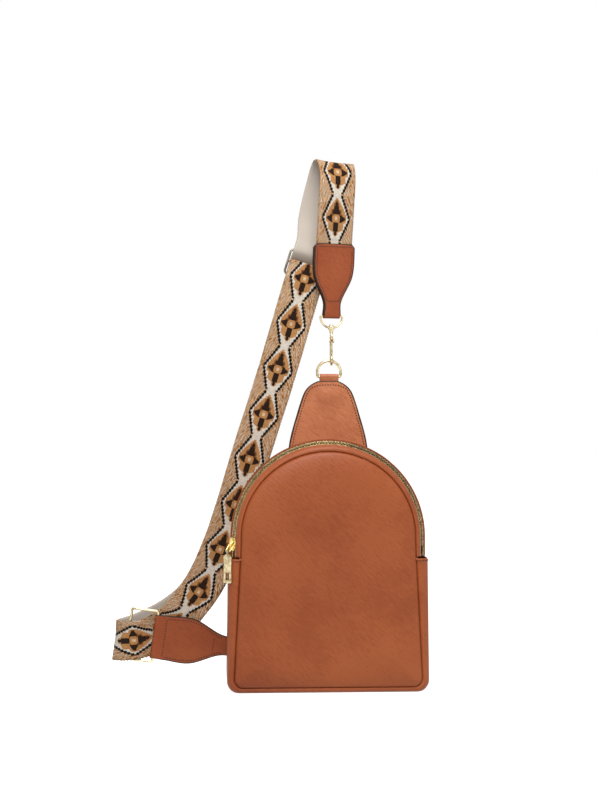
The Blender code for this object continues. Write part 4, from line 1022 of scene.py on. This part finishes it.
strap_stops = [
    (EYE_PLACE + Vector((1, 0, 26)) * MM, YAW_ACROSS), (EYE_PLACE + Vector((3, 0, 75.6)) * MM, YAW_ACROSS),
    stop(14, 43.75, 500, YAW_ACROSS), stop(15.5, 47.15, 530, YAW_ACROSS),
    stop(13.5, 56, 545, (0.96, 0.2, -0.08)), stop(9, 66, 541, (0.975, 0.08, -0.15)),
    stop(3, 70.5, 520, (0.975, 0, -0.2)), stop(-4.4, 69, 488, (0.97, 0, -0.23)),
    by_adjuster(-28, 3 * MM), by_adjuster(-13, -WRAP), by_adjuster(0, WRAP + LAYER), by_adjuster(13, -WRAP),
    by_adjuster(30, -3.6 * MM), stop(-50.5, 54.5, 317.2), stop(-74.8, 53, 241.2), stop(-98, 53.5, 165.3),
    stop(-113, 56, 123, (0.9, 0, -0.43)), stop(-133, 59, 88, (0.75, 0, -0.66)),
    stop(-160, 61, 65, (0.5, 0, -0.86)), stop(-192, 61, 49, (0.25, 0, -0.97)),
    stop(-209, 58, 44, (0.05, 0, -1)), stop(-218, 49, 42, (-0.15, 0, -0.99)),
    stop(-210, 39.5, 42.5, (-0.15, 0, -0.99)), stop(-198, 36.6, 43.5, (-0.15, 0, -0.99)),
    stop(-187, 41.6, 45, (-0.1, 0, -0.99)), stop(-176, 47.4, 48.5, (0.1, 0, -0.99)),
    stop(-158, 48.8, 60, (0.45, 0, -0.89)), stop(-140, 49, 80, (0.74, 0, -0.67)),
    stop(-126.5, 49, 99, (0.83, 0, -0.55)), stop(-113, 48.6, 126, (0.9, 0, -0.43)),
    stop(-98, 47.6, 165.3), stop(-74.8, 47.5, 241.2), stop(-50.5, 48.4, 317.2),
    by_adjuster(30, -8.9 * MM), by_adjuster(13, -WRAP - 2 * LAYER), by_adjuster(4, -WRAP - 0.8 * MM),
]
strap_line = smooth_line(strap_stops, LINE_STEP)
bow = [(-a, b) for a, b in [(0, -WRAP)] + arc((0, 0), WRAP, -90, 90, 12)]
strap_line += [by_adjuster(down / MM, behind) for down, behind in bow]
strap_line += smooth_line([
    by_adjuster(4, 1.2 * MM), by_adjuster(13, -WRAP - LAYER), by_adjuster(27, -WRAP - LAYER - 0.8 * MM),
], LINE_STEP)

# Where the strap lies behind the lower tab the pattern runs faster, so that it falls above the tab as
# it does in the photograph.
rows, run, lengths, slip = [], 0.0, [], 0.0
for i, (place, across) in enumerate(strap_line):
    before, after = strap_line[max(i - 1, 0)][0], strap_line[min(i + 1, len(strap_line) - 1)][0]
    ahead = (after - before).normalized()
    side = (across - ahead * across.dot(ahead)).normalized()
    run += (place - before).length if i else 0
    if len(strap_line) * 0.4 < i and place.z < 100 * MM and -180 * MM < place.x < -150 * MM:
        slip += (place - before).length * PATTERN_SLIP
    lengths.append(run + slip)
    wave = EDGE_WAVE * math.sin(run / WEFT * 2 * math.pi)
    row = []
    for k in range(-8, 9):
        share = k / 8
        half = STRAP_WIDTH / 2 - FIT + (wave * math.copysign(1, k) if abs(k) == 8 else 0)
        half = min(half, end_width(26 * MM + run) / 2 - 1.2 * MM)
        row.append(place + side * half * share)
    rows.append(row)
woven = draw_through(rows)
weave = woven.loops.layers.uv.new("weave")
woven.verts.ensure_lookup_table()
for face in woven.faces:
    for corner_loop in face.loops:
        number = corner_loop.vert.index
        corner_loop[weave].uv = (((number % 17) - 8) / 8 * 20.5, lengths[number // 17] / MM)

# Jacquard webbing: cotton and polyester threads, ribbed 1 mm apart. Each column of threads, 1.46 mm
# wide and counted out from the middle, changes colour along the repeat of 49.8 mm.
REPEAT = 49.8
REPEAT_START = 47.7
COLUMN = 1.46
PICK = 1.6
TAN, CREAM, WHITE = linear("B5824F"), linear("CDB494"), linear("D6CCBE")
BROWN, DARK, BLACK = linear("7A4A26"), linear("24150C"), linear("0E0C0B")
CLEAR = (*TAN[:3], 0.0)
webbing, tree, shader = start_material(
    "jacquard_webbing", Roughness=0.9, Sheen_Weight=0.03, Specular_IOR_Level=0.15,
)
weave_uv = add_node(tree, "UVMap", output="UV", uv_map="weave")
across = add_node(tree, "SeparateXYZ", {"Vector": weave_uv}, output="X")
along = across.node.outputs["Y"]
outward = add_node(tree, "Math", {0: across}, operation="ABSOLUTE")
shifted = add_node(tree, "Math", {0: along, 1: REPEAT_START}, operation="ADD")
turned = add_node(tree, "Math", {0: shifted, 1: REPEAT}, operation="DIVIDE")
phase = add_node(tree, "Math", {0: turned}, operation="FRACT")
columns = add_node(tree, "Math", {0: outward, 1: COLUMN}, operation="DIVIDE")
column_at = add_node(tree, "Math", {0: columns}, operation="FLOOR")

# The motif's colours up each column, in millimetres from its middle: a tan flower centre, dark
# spears above and below it, dark petals at its sides, and a tan lozenge round them all.
MOTIF = (
    [(-19, TAN), (-18, DARK), (-4.2, TAN), (-1.8, CREAM), (1.8, TAN), (4.2, DARK), (17, BROWN),
     (19, TAN), (21.5, WHITE)],
    [(-17.5, TAN), (-14, DARK), (-4.4, TAN), (4.2, DARK), (13, BROWN), (16.5, TAN), (19.5, WHITE)],
    [(-14.5, TAN), (-4.6, BROWN), (-3.2, TAN), (2.6, BROWN), (4.6, DARK), (8, BROWN), (10, TAN),
     (17.5, WHITE)],
    [(-13.8, TAN), (-4.4, DARK), (3.6, BROWN), (9, TAN), (15.5, WHITE)],
    [(-13, TAN), (-3.8, DARK), (3.2, BROWN), (4.4, TAN), (13.4, WHITE)],
    [(-12, TAN), (-3, DARK), (2.4, TAN), (11, WHITE)],
    [(-5, TAN), (-2, DARK), (1.6, TAN), (8, WHITE)],
    [(-4, TAN), (-1.2, BROWN), (1.2, TAN), (5, WHITE)],
)


def column_steps(number):
    """The colours along one column of threads, counted out from the middle, as stops from 0 to 1."""
    edge = (15.6 - (number + 0.5) * COLUMN) * 2.35
    if edge < -2.4:
        return [(0.0, CLEAR)]
    marks = list(MOTIF[number]) if number < len(MOTIF) else []
    if number < 3:
        marks = [(-23.5, WHITE)] + marks
    else:
        outlined = [(-23.5, CLEAR), (-edge - 3.4, BLACK), (-edge + 3.2, WHITE if edge > 1.4 else CLEAR)]
        marks = outlined + marks + [(edge - 3.2, BLACK), (edge + 3.4, CLEAR)]
    ordered, last = [], -24.0
    for place, colour in marks:
        place = max(place, last + 0.05)
        if place < 23.5:
            ordered.append((place / REPEAT + 0.5, colour))
            last = place
    return ordered


# The braided bands outside the black lines: long slanting strokes of tan and cream.
slant = add_node(tree, "Math", {0: outward, 1: 2.4}, operation="MULTIPLY")
wander = add_node(tree, "TexNoise", {"Vector": weave_uv, "Scale": 0.09, "Detail": 2.0}, output="Fac")
drift = add_node(tree, "Math", {0: wander, 1: 12.0}, operation="MULTIPLY")
drift = add_node(tree, "Math", {0: drift, 1: slant}, operation="ADD")
stroke = add_node(tree, "Math", {0: along, 1: drift}, operation="ADD")
stroke = add_node(tree, "Math", {0: stroke, 1: 8.6}, operation="DIVIDE")
stroke = add_node(tree, "Math", {0: stroke}, operation="FRACT")
picks = add_node(tree, "Math", {0: along, 1: PICK}, operation="DIVIDE")
pick_at = add_node(tree, "Math", {0: picks}, operation="FLOOR")
cells = add_node(tree, "CombineXYZ", {"X": column_at, "Y": pick_at})
thread_luck = add_node(tree, "TexWhiteNoise", {"Vector": cells}, output="Value", noise_dimensions="3D")
clump_x = add_node(tree, "Math", {0: across, 1: 2.3}, operation="DIVIDE")
clump_x = add_node(tree, "Math", {0: clump_x}, operation="FLOOR")
clump_y = add_node(tree, "Math", {0: along, 1: 3.4}, operation="DIVIDE")
clump_y = add_node(tree, "Math", {0: clump_y}, operation="FLOOR")
clumps = add_node(tree, "CombineXYZ", {"X": clump_x, "Y": clump_y})
clump_luck = add_node(tree, "TexWhiteNoise", {"Vector": clumps}, output="Value", noise_dimensions="3D")
luck = add_node(tree, "Math", {0: clump_luck, 1: 0.4}, operation="MULTIPLY")
stroke = add_node(tree, "Math", {0: stroke, 1: 0.75}, operation="MULTIPLY")
braided = add_node(tree, "Math", {0: stroke, 1: luck}, operation="ADD")
inside = add_node(tree, "ValToRGB", {"Fac": braided}, interpolation="CONSTANT", stops=[
    (0.0, BROWN), (0.16, TAN), (0.42, CREAM), (0.58, linear("9A6A3C")), (0.8, WHITE), (0.95, TAN),
])
for number in range(12):
    ramp = add_node(tree, "ValToRGB", {"Fac": phase}, stops=column_steps(number), interpolation="CONSTANT")
    here = add_node(tree, "Math", {0: column_at, 1: float(number), 2: 0.5}, operation="COMPARE")
    shown = add_node(tree, "Math", {0: here, 1: ramp.node.outputs["Alpha"]}, operation="MULTIPLY")
    inside = add_node(tree, "Mix", {0: shown, 6: inside, 7: ramp}, output=2, data_type="RGBA")
tinted = add_node(tree, "MapRange", {"Value": thread_luck, "To Min": 0.84, "To Max": 1.08})
final = add_node(tree, "Mix", {
    0: 1.0, 6: inside, 7: tinted,
}, output=2, data_type="RGBA", blend_type="MULTIPLY")
tree.links.new(final, shader.inputs["Base Color"])
rib = add_node(tree, "Math", {0: across, 1: 2 * math.pi}, operation="MULTIPLY")
rib = add_node(tree, "Math", {0: rib}, operation="COSINE")
pick = add_node(tree, "Math", {0: along, 1: 2 * math.pi / PICK}, operation="MULTIPLY")
pick = add_node(tree, "Math", {0: pick}, operation="SINE")
height = add_node(tree, "Math", {0: rib, 1: pick}, operation="MULTIPLY")
height = add_node(tree, "Math", {0: height, 1: thread_luck}, operation="ADD")
bumped = add_node(tree, "Bump", {"Height": height, "Strength": 0.7, "Distance": 0.25 * MM})
tree.links.new(bumped, shader.inputs["Normal"])

# Strap backing: smooth plain-woven polyester tape, grey-beige, with a fine twill.
backing, tree, shader = start_material("polyester_backing_tape", Roughness=0.7)
weave_uv = add_node(tree, "UVMap", output="UV", uv_map="weave")
twill = add_node(tree, "TexWave", {
    "Vector": weave_uv, "Scale": WAVE_PERIOD / 0.9, "Distortion": 0.4,
}, output="Fac", bands_direction="DIAGONAL")
dyed = add_node(tree, "ValToRGB", {"Fac": twill}, stops=[(0.0, linear("ABA093")), (1.0, linear("BBB0A5"))])
tree.links.new(dyed, shader.inputs["Base Color"])
bumped = add_node(tree, "Bump", {"Height": twill, "Strength": 0.25, "Distance": 0.1 * MM})
tree.links.new(bumped, shader.inputs["Normal"])

strap = put_piece(woven, "strap_webbing", [webbing, backing, webbing], stands_for=["strap"],
                  outward=YAW_FRONT)
thicken(strap, STRAP, offset=0.0, back=1, rim=2, smooth=0)

# The sliding adjuster: a closed wire frame with a middle bar, just wider inside than the strap. It is
# zinc under dark nickel plating, polished and smoky.
dark_nickel = metal("dark_nickel_plating", "9A917F", "4A4238", 0.2)
bm = bmesh.new()
half = STRAP_WIDTH / 2 + 0.8 * MM + ADJUSTER_WIRE / 2
frame_line = rounded_loop(2 * half, 2 * BAR_GAP, 3 * MM)
frame_line = [ADJUSTER_CENTRE + LEAN_ACROSS * a + DOWN * b for a, b in frame_line]
bend_wire(bm, frame_line, ADJUSTER_WIRE, closed=True)
bend_wire(bm, [ADJUSTER_CENTRE + LEAN_ACROSS * half * k / 4 for k in range(-4, 5)], ADJUSTER_WIRE - 0.04 * MM)
put_piece(bm, "adjuster_frame", [dark_nickel], "bag", ["strap_adjuster"])

# The lower ring: a long rectangle of pale wire that joins the strap to its lower leather tab. The
# strap goes round its outer bar, and its inner bar lies in the tab's fold.
TAB_LEAN = math.radians(8)
LOWER_ALONG = Vector((math.cos(TAB_LEAN), 0, -math.sin(TAB_LEAN)))
LOWER_ACROSS = Vector((math.sin(TAB_LEAN), 0, math.cos(TAB_LEAN)))
LOWER_FOLD = Vector((-179, 41.45, 47)) * MM
LOWER_WIRE = 2.8 * MM
LOWER_BAR = LOWER_WIRE / 2 + FIT + END_TAB
LOWER_RING = 28 * MM
bm = bmesh.new()
middle = LOWER_FOLD + LOWER_ALONG * (LOWER_BAR - LOWER_RING / 2)
ring_line = rounded_loop(LOWER_RING, 53 * MM, 2.5 * MM)
bend_wire(bm, [middle + LOWER_ALONG * a + LOWER_ACROSS * b for a, b in ring_line], LOWER_WIRE, closed=True)
put_piece(bm, "lower_ring_wire", [pale_gold], "strap_ring", ["lower_ring"])

# The lower tab: one piece of leather folded round the ring's bar. It narrows to a neck, which runs in
# behind the bag, and it is edged and stitched as the upper one is.
LOWER_LENGTH = 95 * MM


def lower_width(along):
    """The tab's width at a length in from its fold."""
    return eased(along, [
        (0, 44 * MM), (LOWER_LENGTH * 0.15, 45 * MM), (LOWER_LENGTH * 0.44, 45 * MM),
        (LOWER_LENGTH * 0.76, 20 * MM), (LOWER_LENGTH, 20 * MM),
    ])


leg = (END_TAB + FIT) / 2
bow = LOWER_WIRE / 2 + FIT + END_TAB / 2
outs = [LOWER_LENGTH * (1 - i / 44) for i in range(39)]
path = [(along, -leg) for along in outs]
path += [(LOWER_BAR + a, b) for a, b in [(0, -bow)] + arc((0, 0), bow, -90, -270, 12)]
path += [(along, leg) for along in reversed(outs)]
rows = []
for along, behind in path:
    row = []
    for k in range(21):
        share = math.sin(math.pi / 2 * (k / 10 - 1))
        bend_out = 0.35 * MM * (1 - share**2) * math.copysign(1, behind) * min(1, along / (20 * MM))
        row.append(LOWER_FOLD + LOWER_ALONG * along + LOWER_ACROSS * lower_width(along) / 2 * share
                   + Vector((0, behind + bend_out, 0)))
    rows.append(row)
lower_tab = put_piece(draw_through(rows), "lower_end_leather", [smooth_leather, edge_paint],
                      stands_for=["lower_end_tab"], outward=Vector((0, -1, 0)))
thicken(lower_tab, END_TAB, offset=0.0, rim=1)

bm = bmesh.new()
for toward in (-1, 1):
    face = toward * (leg + END_TAB / 2 + 0.1 * MM)

    def on_lower(along, across):
        """A place on one of the tab's two faces."""
        bend_out = 0.35 * MM * (1 - (across / (lower_width(along) / 2)) ** 2) * min(1, along / (20 * MM))
        out = Vector((0, face + toward * bend_out, 0))
        return LOWER_FOLD + LOWER_ALONG * along + LOWER_ACROSS * across + out

    outs = [14 * MM + 60 * MM * i / 40 for i in range(41)]
    edge = [(along, lower_width(along) / 2 - END_STITCH) for along in outs]
    sew(bm, [on_lower(along, across) for along, across in edge])
    sew(bm, [on_lower(along, -across) for along, across in edge])
    sew(bm, [on_lower(12.5 * MM, across * MM) for across in range(-20, 21)])
    sew(bm, [on_lower(64 * MM, across * MM) for across in range(-7, 8)])
put_piece(bm, "lower_end_stitches", [brown_thread])
bm = bmesh.new()
for behind in (-leg, leg):
    for side in (-1, 1):
        edge = []
        for i in range(58):
            along = LOWER_LENGTH * i / 60
            rim = LOWER_ACROSS * side * lower_width(along) / 2
            edge.append(LOWER_FOLD + LOWER_ALONG * along + rim + Vector((0, behind, 0)))
        bend_wire(bm, edge, END_TAB + 0.3 * MM, sides=8)
put_piece(bm, "lower_end_painted_edge", [edge_paint])

# The setting: a pale floor that glows to the camera, so that it reads as white and keeps the bag's
# shadow, a white world behind it, and three plain soft lamps.
floor_white, tree, shader = start_material("white_floor", Base_Color=linear("CFCECC"), Roughness=0.9)
rays = add_node(tree, "LightPath", output="Is Camera Ray")
seen = add_node(tree, "Math", {0: rays, 1: rays.node.outputs["Is Glossy Ray"]}, operation="MAXIMUM")
seen = add_node(tree, "Math", {0: seen, 1: rays.node.outputs["Is Transmission Ray"]}, operation="MAXIMUM")
shader.inputs["Emission Color"].default_value = (1, 1, 1, 1)
glow = add_node(tree, "Math", {0: seen, 1: 0.88}, operation="MULTIPLY")
tree.links.new(glow, shader.inputs["Emission Strength"])
bm = bmesh.new()
bmesh.ops.create_grid(bm, x_segments=1, y_segments=1, size=6)
mesh = bpy.data.meshes.new("floor")
bm.to_mesh(mesh)
bm.free()
mesh.materials.append(floor_white)
floor = bpy.data.objects.new("floor", mesh)
bpy.context.scene.collection.objects.link(floor)

world = bpy.data.worlds.new("studio")
world.use_nodes = True
tree = world.node_tree
rays = add_node(tree, "LightPath", output="Is Camera Ray")
seen = add_node(tree, "Math", {0: rays, 1: rays.node.outputs["Is Glossy Ray"]}, operation="MAXIMUM")
seen = add_node(tree, "Math", {0: seen, 1: rays.node.outputs["Is Transmission Ray"]}, operation="MAXIMUM")
strength = add_node(tree, "MapRange", {"Value": seen, "To Min": 0.29, "To Max": 1.0})
tree.nodes["Background"].inputs["Color"].default_value = (1, 1, 1, 1)
tree.links.new(strength, tree.nodes["Background"].inputs["Strength"])
bpy.context.scene.world = world

for name, place, size, power in (
    ("key", (-0.35, -1.35, 1.5), 0.7, 17), ("fill", (1.4, -1.1, 0.9), 1.2, 4),
    ("top", (0.05, -0.75, 1.7), 0.6, 18),
):
    lamp = bpy.data.lights.new(name, "AREA")
    lamp.energy = power
    lamp.size = size
    holder = bpy.data.objects.new(name, lamp)
    holder.location = place
    holder.rotation_euler = (Vector((-0.03, 0, 0.22)) - Vector(place)).to_track_quat("-Z", "Y").to_euler()
    bpy.context.scene.collection.objects.link(holder)

camera = bpy.data.cameras.new("camera")
camera.sensor_fit = "VERTICAL"
camera.sensor_height = 36
camera.lens = 72
viewer = bpy.data.objects.new("camera", camera)
viewer.location = (-0.1137, -1.6378, 0.294)
viewer.rotation_euler = (math.radians(90), 0, math.radians(-3))
bpy.context.scene.collection.objects.link(viewer)
bpy.context.scene.camera = viewer
bpy.context.scene.view_settings.view_transform = "Standard"
